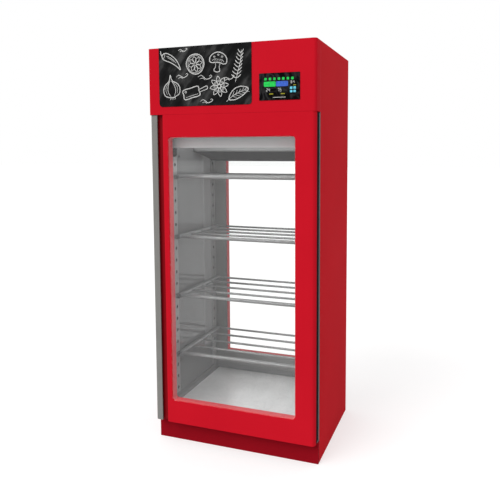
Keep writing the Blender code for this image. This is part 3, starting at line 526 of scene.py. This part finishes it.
def fin_stack(name, pitch):
    """Pressed aluminium fins close together along x: thin pale edges, with painted shade for the gaps between
    them.
    """
    made, tree, shader = new_finish(name, Metallic=0.8)
    turns = reckon(tree, "MULTIPLY", object_axes(tree)["X"], 2 * pi / pitch)
    fins = between(tree, reckon(tree, "ADD", reckon(tree, "SINE", turns), 1.0), 0.0, 0.5)
    # The dark stop is painted shade between the fins, the pale one the aluminium's own tone.
    tone = tones(tree, fins, (0.25, (0.055, 0.056, 0.058)), (0.7, (0.42, 0.43, 0.44)))
    tree.links.new(tone, shader.inputs["Base Color"])
    tree.links.new(between(tree, grain(tree, 60), 0.32, 0.5), shader.inputs["Roughness"])
    bump(tree, shader, fins, 0.5, 0.0015)
    return made


fins = fin_stack("aluminium_fins", 0.0032)
dress(fins, "evaporator_coil")
fan_moulding = moulded("fan_moulding", (0.016, 0.016, 0.017), roughness=0.45)
dress(fan_moulding, "evaporator_fan_left", "evaporator_fan_right")

# Condensing unit on the ceiling panel, inside the header: finned coil, zinc shroud with its fan, black
# compressor and a zinc control box. Bought-in units, screwed down, seen only through the rear slots.
black_paint = enamel("compressor_black", (0.014, 0.014, 0.014), gloss=0.4, roughness=0.42)
dress(fins, "condenser_coil")
dress(zinc, "condenser_shroud", "control_box")
dress(fan_moulding, "condenser_fan")
dress(black_paint, "compressor")

# Header: one red pressing round the front of the cabinet, folded in at its foot, with round upright
# corners and a cut-out for the screen. The roof and the slotted rear panel close it.
front_red = enamel("header_and_door_red", (0.597, 0.0085, 0.0205), gloss=0.01, roughness=0.6)
roof_red = enamel("roof_red", (0.590, 0.0030, 0.0140))
header_low, header_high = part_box("header_front")


def rounded_outline(bm, low, high, radius, depth, segments):
    """Edges round an outline seen from the front, low and high being its (x, z) corners."""
    edges_before, faces_before = set(bm.edges), set(bm.faces)
    middle = Matrix.Translation(((low[0] + high[0]) / 2, depth, (low[1] + high[1]) / 2))
    size = Matrix.Diagonal((high[0] - low[0], high[1] - low[1], 1, 1))
    place = middle @ Matrix.Rotation(pi / 2, 4, "X") @ size
    corners = bmesh.ops.create_grid(bm, x_segments=1, y_segments=1, size=0.5, matrix=place)["verts"]
    bmesh.ops.bevel(
        bm, geom=corners, affect="VERTICES", offset=radius, segments=segments, profile=0.5, material=-1
    )
    added = [face for face in bm.faces if face not in faces_before]
    bmesh.ops.delete(bm, geom=added, context="FACES_ONLY")
    return [edge for edge in bm.edges if edge not in edges_before]


def run_through(bm, low, high, radius, steps, segments):
    """Carries a window's outline through (growth, depth) steps: gives the edges it starts from."""
    first = last = None
    for growth, depth in steps:
        corners = (low[0] - growth, low[1] - growth), (high[0] + growth, high[1] + growth)
        edges = rounded_outline(bm, *corners, radius + growth, depth, segments)
        if last:
            bmesh.ops.bridge_loops(bm, edges=last + edges)
        first = first or edges
        last = edges
    return first


def pierce(bm, outline):
    """Cuts an outline out of the front face of a pressing."""
    plate = max(bm.faces, key=lambda face: -face.normal.y * face.calc_area())
    rim = list(plate.edges)
    bmesh.ops.delete(bm, geom=[plate], context="FACES_ONLY")
    bmesh.ops.triangle_fill(bm, edges=rim + outline, use_beauty=True, use_dissolve=False)


def face_out(bm):
    """Turns all faces of an open pressing outwards."""
    bmesh.ops.recalc_face_normals(bm, faces=bm.faces)
    plate = max(bm.faces, key=lambda face: abs(face.normal.y) * face.calc_area())
    if plate.normal.y > 0:
        bmesh.ops.reverse_faces(bm, faces=bm.faces)


header_corner = 0.016
header_fold = 0.0004
screen_gap = 0.001
hole_corner = 0.002
header = block(header_low, header_high)
cut_open(header, y=header_high.y, z=header_high.z)
uprights = at(header, x=header_low.x, y=header_low.y) + at(header, x=header_high.x, y=header_low.y)
turn_edges(header, uprights, header_corner, 10)
back_edge = header_high.y - 0.001
foot = [edge for edge in at(header, z=header_low.z) if any(vert.co.y < back_edge for vert in edge.verts)]
turn_edges(header, foot, header_fold, 2)
screen_low, screen_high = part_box("display_housing")
hole = (
    (screen_low.x - screen_gap, screen_low.z - screen_gap),
    (screen_high.x + screen_gap, screen_high.z + screen_gap),
)
header.normal_update()
pierce(header, run_through(header, *hole, hole_corner, ((0, header_low.y),), 3))
face_out(header)
fit("header_pressing", header, front_red, stands_for=["header_front"], wall=0.0018)
dress(roof_red, "header_roof")
dress(kick_shade_red, "header_rear_panel")

# Menu board: a slate-black laminate plate bonded to the header, square at the top edge and round at
# its lower corners, with old chalk dust wiped about on it and new drawings in white chalk.
slate, tree, shader = new_finish("slate_laminate", Specular_IOR_Level=0.04)
place = add(tree, "ShaderNodeTexCoord").outputs["Object"]
slanted = add(tree, "ShaderNodeMapping", {"Vector": place, "Rotation": (0, radians(52), 0)}).outputs["Vector"]
drawn_out = add(tree, "ShaderNodeMapping", {"Vector": slanted, "Scale": (9, 1, 34)}).outputs["Vector"]
wipes = add(tree, "ShaderNodeTexNoise", {"Vector": drawn_out, "Scale": 1.0, "Detail": 5.0}).outputs["Fac"]
dust = reckon(tree, "MULTIPLY", grain(tree, 11, 6.0), wipes)
shades = (0.17, (0.0060, 0.0062, 0.0065)), (0.27, (0.0135, 0.0137, 0.0140)), (0.42, (0.060, 0.060, 0.060))
tree.links.new(tones(tree, dust, *shades), shader.inputs["Base Color"])
tooth = grain(tree, 1500, 2.0)
tree.links.new(between(tree, tooth, 0.55, 0.8), shader.inputs["Roughness"])
bump(tree, shader, tooth, 0.15, 0.0003)
board_low, board_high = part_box("menu_board")
board_corner = 0.017
board_edge = 0.0005
board = block(board_low, board_high)
lower_corners = at(board, x=board_low.x, z=board_low.z) + at(board, x=board_high.x, z=board_low.z)
turn_edges(board, lower_corners, board_corner, 10)
turn_edges(board, at(board, y=board_low.y), board_edge, 2)
fit("chalk_board", board, slate, stands_for=["menu_board"])

# Chalk drawings on the board: kitchen herbs, fruit and tools in loose white strokes a few millimetres
# wide, pressed harder in the middle of each stroke, so the chalk skips over the board's tooth.
chalk, tree, shader = new_finish("white_chalk", Roughness=0.95, Specular_IOR_Level=0.05)
crumbs = grain(tree, 900, 3.0)
tone = tones(tree, crumbs, (0.36, (0.22, 0.22, 0.215)), (0.50, (0.72, 0.72, 0.705)))
tree.links.new(tone, shader.inputs["Base Color"])
bump(tree, shader, crumbs, 0.4, 0.0004)
hand = random.Random(41)
chalk_lines = bmesh.new()
chalk_lift = 0.00012
chalk_layer = 0.000002
chalk_ridge = 0.00022
span_steps = 6
wobble = 0.3
layer = 0


def stroke(points, width, place, scale=1.0, turn=0.0, closed=False):
    """A chalk stroke through points in millimetres, set at a place on the board, scaled and turned."""
    global layer
    layer += 1
    path = [Vector(point) for point in points]
    spans = len(path) if closed else len(path) - 1
    line = []
    for span in range(spans):
        if closed:
            a, b, c, d = (path[(span + step) % len(path)] for step in (-1, 0, 1, 2))
        else:
            a, b, c, d = (path[min(max(span + step, 0), len(path) - 1)] for step in (-1, 0, 1, 2))
        for step in range(span_steps):
            t = step / span_steps
            curve = 2 * b + (c - a) * t
            curve = curve + (2 * a - 5 * b + 4 * c - d) * t * t + (3 * b - a - 3 * c + d) * t * t * t
            line.append(0.5 * curve)
    if not closed:
        line.append(path[-1])
    spin = Matrix.Rotation(radians(turn), 2)
    flat = board_low.y - chalk_lift - layer * chalk_layer
    rows = []
    for index, point in enumerate(line):
        before = line[(index - 1) % len(line)] if closed or index else point
        after = line[(index + 1) % len(line)] if closed or index < len(line) - 1 else point
        ahead = (after - before).normalized()
        aside = Vector((-ahead.y, ahead.x))
        press = 1.0 if closed else 0.45 + 0.55 * sin(pi * index / max(1, len(line) - 1)) ** 0.6
        half = width / 2 * press * hand.uniform(0.82, 1.15)
        point = point + Vector((hand.uniform(-wobble, wobble), hand.uniform(-wobble, wobble)))
        row = []
        for share, rise in ((-1, 0), (0, chalk_ridge), (1, 0)):
            spot = spin @ (point * scale) + spin @ aside * half * share
            x = (place[0] + spot.x) / 1000 + board_low.x
            z = (place[1] + spot.y) / 1000 + board_low.z
            row.append(chalk_lines.verts.new((x, flat - rise, z)))
        rows.append(row)
    if closed:
        rows.append(rows[0])
    for one, two in zip(rows, rows[1:]):
        for side in (0, 1):
            chalk_lines.faces.new((one[side], one[side + 1], two[side + 1], two[side]))


def ring(radius, width, place, centre=(0, 0), squash=1.0):
    """A loop drawn freehand."""
    points = []
    for step in range(12):
        turn = 2 * pi * step / 12
        x = centre[0] + radius * cos(turn) * hand.uniform(0.96, 1.04)
        y = centre[1] + radius * squash * sin(turn) * hand.uniform(0.96, 1.04)
        points.append((x, y))
    stroke(points, width, place, closed=True)


def petal(angle, near, far, half, width, place):
    """A pointed loop that starts from a centre."""
    along = Vector((cos(angle), sin(angle)))
    aside = Vector((-along.y, along.x))
    middle = along * (near + far) / 2
    points = [along * near, middle + aside * half, along * far, middle - aside * half]
    stroke(points, width, place, closed=True)


slice_place = (208, 206)
ring(49, 5.0, slice_place)
ring(42, 2.4, slice_place)
for part in range(8):
    petal(2 * pi * part / 8 + 0.2, 6, 37, 9.5, 2.8, slice_place)
pepper = (72, 232)
stroke(
    [
        (-52, 22), (-40, 35), (-22, 34), (-2, 25), (18, 10), (35, -9), (47, -32),
        (52, -50), (36, -36), (15, -22), (-8, -10), (-30, -2), (-47, 8),
    ],
    4.4, pepper, closed=True,
)
stroke([(-50, 18), (-58, 32), (-60, 48)], 5.0, pepper)
stroke([(-52, 8), (-40, 16), (-36, 28), (-40, 37)], 2.8, pepper)
stroke([(-28, 22), (-8, 14), (12, 0), (28, -16)], 3.2, pepper)
stroke([(-22, 14), (-4, 5), (14, -9)], 2.2, pepper)
cap = (333, 212)
stroke(
    [
        (-46, -2), (-44, 20), (-26, 38), (0, 45), (26, 38), (44, 20),
        (46, -2), (32, -9), (11, -5), (-11, -5), (-32, -9),
    ],
    4.6, cap, turn=-9, closed=True,
)
stroke([(-13, -6), (-10, -26), (-16, -44), (0, -51), (16, -44), (10, -26), (13, -6)], 4.2, cap, turn=-9)
for start in (-30, -18, -6, 6, 18, 30):
    stroke([(start * 1.1, 0), (start * 0.8, 8), (start * 0.5, 13)], 2.2, cap, turn=-9)
for spot in ((-20, 24), (2, 32), (22, 22)):
    ring(4.2, 2.4, cap, centre=spot, squash=0.7)
sprig = (447, 186)
stroke([(-22, -78), (-12, -40), (0, 0), (8, 40), (10, 76)], 3.4, sprig)
for step in range(8):
    height = -58 + step * 17
    root = -17 + step * 3.6
    reach = 25 - step * 1.5
    for side in (-1, 1):
        needle = [(root, height), (root + side * reach * 0.6, height + 8), (root + side * reach, height + 18)]
        stroke(needle, 4.2, sprig)
bulb = (72, 92)
stroke(
    [
        (2, 66), (-4, 46), (-14, 33), (-36, 18), (-47, -7), (-40, -33), (-15, -45),
        (0, -47), (15, -45), (40, -33), (47, -7), (36, 18), (13, 33), (6, 46),
    ],
    4.6, bulb, turn=8, closed=True,
)
for side in (-1, 1):
    stroke([(side * 3, 38), (side * 17, 14), (side * 22, -14), (side * 10, -42)], 3.2, bulb, turn=8)
    stroke([(side * 6, 34), (side * 28, 12), (side * 34, -8), (side * 28, -30)], 2.2, bulb, turn=8)
for root in (-12, -4, 4, 12):
    stroke([(root, -49), (root * 1.3, -58)], 2.2, bulb, turn=8)
blade = (196, 62)
stroke(
    [(-52, -20), (-55, 4), (-54, 26), (-10, 29), (30, 30), (33, 6), (33, -16), (-8, -19)],
    4.8, blade, turn=11, closed=True,
)
stroke([(34, 12), (56, 16), (78, 20), (82, 12), (78, 5), (56, 2), (34, -1)], 4.2, blade, turn=11)
stroke([(-46, -11), (-10, -9), (26, -7)], 2.4, blade, turn=11)
ring(4.5, 2.8, blade, centre=(-44, 8))
star = (338, 92)
for part in range(8):
    angle = 2 * pi * part / 8 + 0.15
    petal(angle, 9, 50, 10, 3.6, star)
    ring(4.0, 2.2, star, centre=(26 * cos(angle), 26 * sin(angle)))
ring(8, 3.0, star)
leaf = (438, 58)
stroke(
    [(-54, -18), (-34, 10), (-2, 25), (30, 23), (58, 4), (34, -14), (4, -25), (-28, -28)],
    4.4, leaf, turn=14, closed=True,
)
stroke([(-70, -26), (-34, -10), (8, 0), (54, 4)], 3.2, leaf, turn=14)
for step in range(5):
    root = -34 + step * 18
    stroke([(root, -9 + step * 2.4), (root + 10, 2 + step * 2.4), (root + 16, 12 + step)], 2.2, leaf, turn=14)
    stroke([(root, -9 + step * 2.4), (root + 12, -16 + step * 2), (root + 22, -20 + step * 2)], 2.2, leaf, turn=14)
for place, size, turn in (
    ((135, 148), 0.8, 6), ((262, 137), 0.9, -4), ((392, 128), 0.7, 10), ((270, 20), 0.8, 0), ((140, 276), 0.6, 4),
):
    stroke([(-44, 2), (-26, 12), (-8, 2), (8, -8), (28, -2), (40, 8), (32, 15), (25, 8)], 3.6, place, size, turn)
    stroke([(-32, -8), (-14, -3), (2, -13)], 2.6, place, size, turn)
fit("chalk_drawings", chalk_lines, chalk)

# Screen: dark glass with ground edges, bonded over its plastic housing in the header's cut-out. It is
# nearly black, with a faint uneven veil in it.
glass_black, tree, shader = new_finish("screen_glass", Specular_IOR_Level=0.03)
place = add(tree, "ShaderNodeTexCoord").outputs["Object"]
swirl = {"Vector": place, "Scale": 14.0, "Detail": 2.0, "Distortion": 2.5}
veil = add(tree, "ShaderNodeTexNoise", swirl).outputs["Fac"]
shades = (0.45, (0.0022, 0.0022, 0.0026)), (0.62, (0.030, 0.030, 0.031)), (0.70, (0.006, 0.006, 0.007))
tree.links.new(tones(tree, veil, *shades), shader.inputs["Base Color"])
tree.links.new(between(tree, grain(tree, 30), 0.06, 0.12), shader.inputs["Roughness"])
glass_low, glass_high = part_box("display_glass")
glass_corner = 0.003
ground_edge = 0.0005
pane = block(glass_low, glass_high)
sides = (glass_low.x, glass_high.x)
uprights = [edge for x in sides for z in (glass_low.z, glass_high.z) for edge in at(pane, x=x, z=z)]
turn_edges(pane, uprights, glass_corner, 5)
turn_edges(pane, at(pane, y=glass_low.y), ground_edge, 2)
fit("screen_pane", pane, glass_black, stands_for=["display_glass"])
dress(dark_moulding, "display_housing")

# Lit blocks of the screen: seven green lamps, a green and a blue field, four cyan keys, plain white
# figures over three yellow bars, and a white bar at the foot. They shine by themselves, and are made
# as thin blocks on the face of the glass.
lit = {
    "green": ((0.012, 0.60, 0.085), [(27 + 22.5 * step, 94, 12, 12) for step in range(7)] + [(24, 64, 60, 24)]),
    "blue": ((0.040, 0.120, 0.56), [(86, 64, 60, 24)]),
    "cyan": ((0.14, 0.62, 0.80), [(x, z, 12, 11) for x in (156, 173) for z in (34, 50)]),
    "yellow": ((0.30, 0.28, 0.010), [(52, 27, 20, 5), (110, 27, 20, 5), (172, 66, 14, 4)]),
    "white": ((0.62, 0.62, 0.60), [(70, 12, 64, 2.2)]),
}
segments = (
    (1, 14.4, 6, 1.8), (0, 8.3, 1.8, 6.6), (6.2, 8.3, 1.8, 6.6), (1, 7.1, 6, 1.8),
    (0, 1.2, 1.8, 6.6), (6.2, 1.2, 1.8, 6.6), (1, 0, 6, 1.8),
)
figures = {
    "2": (0, 2, 3, 4, 6), "4": (1, 2, 3, 5), "5": (0, 1, 3, 5, 6), "7": (0, 2, 5), "8": (0, 1, 2, 3, 4, 5, 6),
}
readings = ("24", 36, 40, 1.0), ("75", 94, 40, 1.0), ("8", 160, 76, 0.8), ("4", 172, 76, 0.8)
for shown, left, foot, size in readings:
    for index, figure in enumerate(shown):
        for bar in figures[figure]:
            x, z, wide, tall = segments[bar]
            lit["white"][1].append((left + (11 * index + x) * size, foot + z * size, wide * size, tall * size))
for shade, (colour, fields) in lit.items():
    glow, tree, shader = new_finish(
        f"screen_{shade}",
        Base_Color=(0.01, 0.01, 0.01, 1),
        Roughness=0.4,
        Specular_IOR_Level=0.1,
        Emission_Strength=1.0,
    )
    dimmer = tuple(channel * 0.8 for channel in colour)
    brighter = tuple(min(1, channel * 1.25) for channel in colour)
    tone = tones(tree, grain(tree, 160, 2.0), (0.35, dimmer), (0.65, brighter))
    tree.links.new(tone, shader.inputs["Emission Color"])
    fields_mesh = bmesh.new()
    for x, z, wide, tall in fields:
        left, foot = glass_low.x + x / 1000, glass_low.z + z / 1000
        right, head = left + wide / 1000, foot + tall / 1000
        field = block((left, glass_low.y - 0.00015, foot), (right, glass_low.y - 0.00002, head))
        sides = at(field, x=left) + at(field, x=right)
        corners = [edge for edge in sides if abs(edge.verts[0].co.z - edge.verts[1].co.z) < 1e-6]
        turn_edges(field, corners, min(wide, tall) * 0.00018, 3)
        single = bpy.data.meshes.new("field")
        field.to_mesh(single)
        field.free()
        fields_mesh.from_mesh(single)
        bpy.data.meshes.remove(single)
    fit(f"screen_fields_{shade}", fields_mesh, glow)

# Door skin: a red pressing with round upright edges. Its window edge folds in to a rebate for the
# outer pane, then to a deep reveal. A flat strip beside it is the floor of the finger channel.
skin_low, skin_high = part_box("door_skin")
grip_low, grip_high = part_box("door_grip")
pane_low, pane_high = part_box("door_glass_outer")
skin_depth = 0.024
left_round = 0.012
right_round = 0.020
end_fold = 0.0004
pane_gap = 0.0003
window_corner = 0.018
window_fold = 0.0012
rebate_depth = 0.005
rebate_width = 0.003
rebate_lip = 0.0004
rebate_turn = 0.0008
front = skin_low.y
skin_left = grip_low.x + 0.072
skin_top = skin_high.z + 0.0009
window = (pane_low.x - pane_gap, pane_low.z - pane_gap), (pane_high.x + pane_gap, pane_high.z + pane_gap)
skin = block((skin_left, front, skin_low.z), (skin_high.x, front + skin_depth, skin_top))
cut_open(skin, y=front + skin_depth)
turn_edges(skin, at(skin, x=skin_left, y=front), left_round, 8)
turn_edges(skin, at(skin, x=skin_high.x, y=front), right_round, 10)
back_edge = front + skin_depth - 0.001
ends = at(skin, z=skin_low.z) + at(skin, z=skin_top)
ends = [edge for edge in ends if any(vert.co.y < back_edge for vert in edge.verts)]
turn_edges(skin, ends, end_fold, 2)
skin.normal_update()
rebate = front + rebate_depth
turns = (0, pi / 6, pi / 3, pi / 2)
steps = [(window_fold * (1 - sin(turn)), front + window_fold * (1 - cos(turn))) for turn in turns]
steps += [(0, rebate - rebate_lip), (-rebate_lip, rebate), (-rebate_width + rebate_turn, rebate)]
steps += [(-rebate_width, rebate + rebate_turn), (-rebate_width, skin_high.y)]
pierce(skin, run_through(skin, *window, window_corner, steps, 10))
face_out(skin)
skin = fit("door_pressing", skin, front_red, "front_door", ["door_skin"], wall=0.0012)
# The reveal is part of the same red pressing as the face, in a paler and glossier red: painted light that lifts it
# out of its shade behind the panes.
reveal_lit_red = enamel("door_reveal_painted_light_red", (0.780, 0.018, 0.034), gloss=0.25, roughness=0.32)
reveal_lit_red.node_tree.nodes["Bump"].inputs["Strength"].default_value = 0.01
skin.data.materials.append(reveal_lit_red)
reveal_start = front + 0.0045
for face in skin.data.polygons:
    x, y, z = face.center
    if y > reveal_start and window[0][0] < x < window[1][0] and window[0][1] < z < window[1][1]:
        face.material_index = 1
# The floor of the finger channel is the door's red at under half its brightness: painted shade in the recess
# beside the grip.
channel_shade_red = enamel("finger_channel_shaded_red", (0.250, 0.0030, 0.0070), gloss=0.06)
channel_low = (skin_low.x, front + skin_depth - 0.002, skin_low.z)
channel = block(channel_low, (skin_left + 0.001, front + skin_depth, skin_high.z))
fit("finger_channel_floor", channel, channel_shade_red, "front_door")

# Door core and inner frame: the dark plastic edge of the foam core shows as a band behind the skin,
# with a filler strip and a thin tape on its right edge. The grey frame behind it holds the inner pane
# and, in a groove, the magnetic gasket.
edge_trim = moulded("edge_trim_dark", (0.018, 0.019, 0.022), roughness=0.9, gloss=0.0)
frame_grey = enamel("door_frame_grey", (0.300, 0.335, 0.360), gloss=0.3, roughness=0.5)
rubber = moulded("gasket_rubber", (0.012, 0.012, 0.012), roughness=0.75, gloss=0.2)
outer_pane = clear_glass("door_outer_pane_glass", 0.040, 0.45)
inner_pane = clear_glass("door_inner_pane_glass", 0.004, 0.20)
dress(edge_trim, "door_core")
core_low, core_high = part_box("door_core")
core_front = front + skin_depth
strip_foot, strip_head = core_low.z + 0.002, core_high.z - 0.002
filler_edge = skin_high.x - 0.0003
filler = block((core_high.x + 0.0001, core_front + 0.0003, strip_foot), (filler_edge, core_high.y, strip_head))
turn_edges(filler, at(filler, x=filler_edge), 0.0006, 3)
fit("edge_filler_strip", filler, edge_trim, "front_door")
tape_edge = skin_high.x + 0.0006
tape_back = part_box("door_frame")[1].y - 0.0065
tape = block((skin_high.x + 0.0001, core_front + 0.0006, strip_foot), (tape_edge, tape_back, strip_head))
turn_edges(tape, at(tape, x=tape_edge), 0.0002, 2)
fit("edge_tape", tape, edge_trim, "front_door")
dress(frame_grey, "door_frame")
dress(outer_pane, "door_glass_outer")
dress(inner_pane, "door_glass_inner")
dress(rubber, "door_gasket")

# Grip: an extruded aluminium profile down the free edge, round at its corner and hooked at its end
# so that fingers in the channel pull on it. Satin anodised, with the drawing lines along it.
anodised = steel(
    "anodised_grip", (0.225, 0.222, 0.210), "z", roughness=0.35, metallic=0.25, gloss=0.3, depth=0.03
)
grip_round = 0.017
hook_round = 0.0022
hook_length = 0.006
grip_front = front + 0.006
profile = (
    (grip_low.x, skin_high.y),
    (grip_low.x, grip_front),
    (grip_high.x, grip_front),
    (grip_high.x, grip_front + hook_length),
)
grip = bmesh.new()
points = [grip.verts.new((x, y, grip_low.z)) for x, y in profile]
strip = [grip.edges.new(pair) for pair in zip(points, points[1:])]
raised = bmesh.ops.extrude_edge_only(grip, edges=strip)["geom"]
rise = (0, 0, grip_high.z - grip_low.z)
bmesh.ops.translate(grip, verts=[item for item in raised if isinstance(item, bmesh.types.BMVert)], vec=rise)
face_out(grip)
turn_edges(grip, at(grip, x=grip_low.x, y=grip_front), grip_round, 12)
turn_edges(grip, at(grip, x=grip_high.x, y=grip_front), hook_round, 4)
fit("grip_profile", grip, anodised, "front_door", ["door_grip"], wall=0.0025)

# Hinge brackets: steel plates with a pin, enamelled in the kick plate's painted-shade red, one under the
# header and one screwed to the kick plate.
dress(kick_shade_red, "hinge_bracket_top", "hinge_bracket_bottom")

# Foam seal: a dark strip glued along the top of the kick plate, which closes the gap under the floor
# panel as far as the lower hinge.
kick_low, kick_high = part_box("plinth_front")
bracket_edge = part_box("hinge_bracket_bottom")[0].x
panel_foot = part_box("floor_panel")[0].z
seal_front = kick_low.y + 0.002
seal = block(
    (kick_low.x + 0.004, seal_front, kick_high.z + 0.0002),
    (bracket_edge - 0.002, kick_high.y - 0.001, panel_foot - 0.0003),
)
turn_edges(seal, at(seal, y=seal_front), 0.0008, 3)
fit("kick_plate_seal", seal, rubber)

# Studio: a plain pale floor, an even white surround, one broad soft sun from the front left, and a wide
# lamp under the chamber's ceiling, just behind the lamp bar it stands in for. The floor keeps the
# cabinet's shadow. It glows a little, but only to the camera and in what metal and glass show.
def seen_directly(tree):
    """1 for the camera and for what metal and glass show of a thing, 0 for the light it sends out."""
    rays = add(tree, "ShaderNodeLightPath").outputs
    seen = reckon(tree, "ADD", rays["Is Camera Ray"], rays["Is Glossy Ray"])
    return reckon(tree, "ADD", seen, rays["Is Transmission Ray"], use_clamp=True)


studio_floor, tree, shader = new_finish(
    "studio_floor", Base_Color=(0.50, 0.50, 0.50, 1), Roughness=0.95, Specular_IOR_Level=0.0
)
shader.inputs["Emission Color"].default_value = (1, 1, 1, 1)
tree.links.new(between(tree, seen_directly(tree), 0.0, 0.56), shader.inputs["Emission Strength"])
floor_mesh = bmesh.new()
bmesh.ops.create_grid(floor_mesh, x_segments=8, y_segments=8, size=60, matrix=Matrix.Translation((0, 0, 0)))
mesh = bpy.data.meshes.new("studio_floor")
floor_mesh.to_mesh(mesh)
floor_mesh.free()
mesh.materials.append(studio_floor)
floor = bpy.data.objects.new("studio_floor", mesh)
bpy.context.scene.collection.objects.link(floor)

scene = bpy.context.scene
scene.view_settings.view_transform = "Standard"
world = bpy.data.worlds.new("studio")
world.use_nodes = True
scene.world = world
tree = world.node_tree
surround = tree.nodes["Background"]
surround.inputs["Color"].default_value = (1, 1, 1, 1)
tree.links.new(between(tree, seen_directly(tree), 0.78, 1.0), surround.inputs["Strength"])

sun_data = bpy.data.lights.new("soft_sun", "SUN")
sun_data.energy = 1.5
sun_data.angle = radians(40)
sun = bpy.data.objects.new("soft_sun", sun_data)
sun.rotation_euler = Vector((-0.35, -0.65, 0.67)).to_track_quat("Z", "Y").to_euler()
scene.collection.objects.link(sun)

lamp_data = bpy.data.lights.new("chamber_lamp", "AREA")
lamp_data.shape = "RECTANGLE"
lamp_data.size = 0.70
lamp_data.size_y = 0.20
lamp_data.energy = 1.2
lamp = bpy.data.objects.new("chamber_lamp", lamp_data)
lamp.location = (0, -0.115, 1.675)
scene.collection.objects.link(lamp)

camera_data = bpy.data.cameras.new("camera")
camera_data.lens = 38.777
camera_data.sensor_width = 36
camera_data.shift_x = -0.08654
camera_data.shift_y = -0.10638
camera = bpy.data.objects.new("camera", camera_data)
camera.location = (1.1442, -2.76015, 1.5436)
camera.rotation_euler = (radians(85.4848), 0, radians(18.3946))
scene.collection.objects.link(camera)
scene.camera = camera
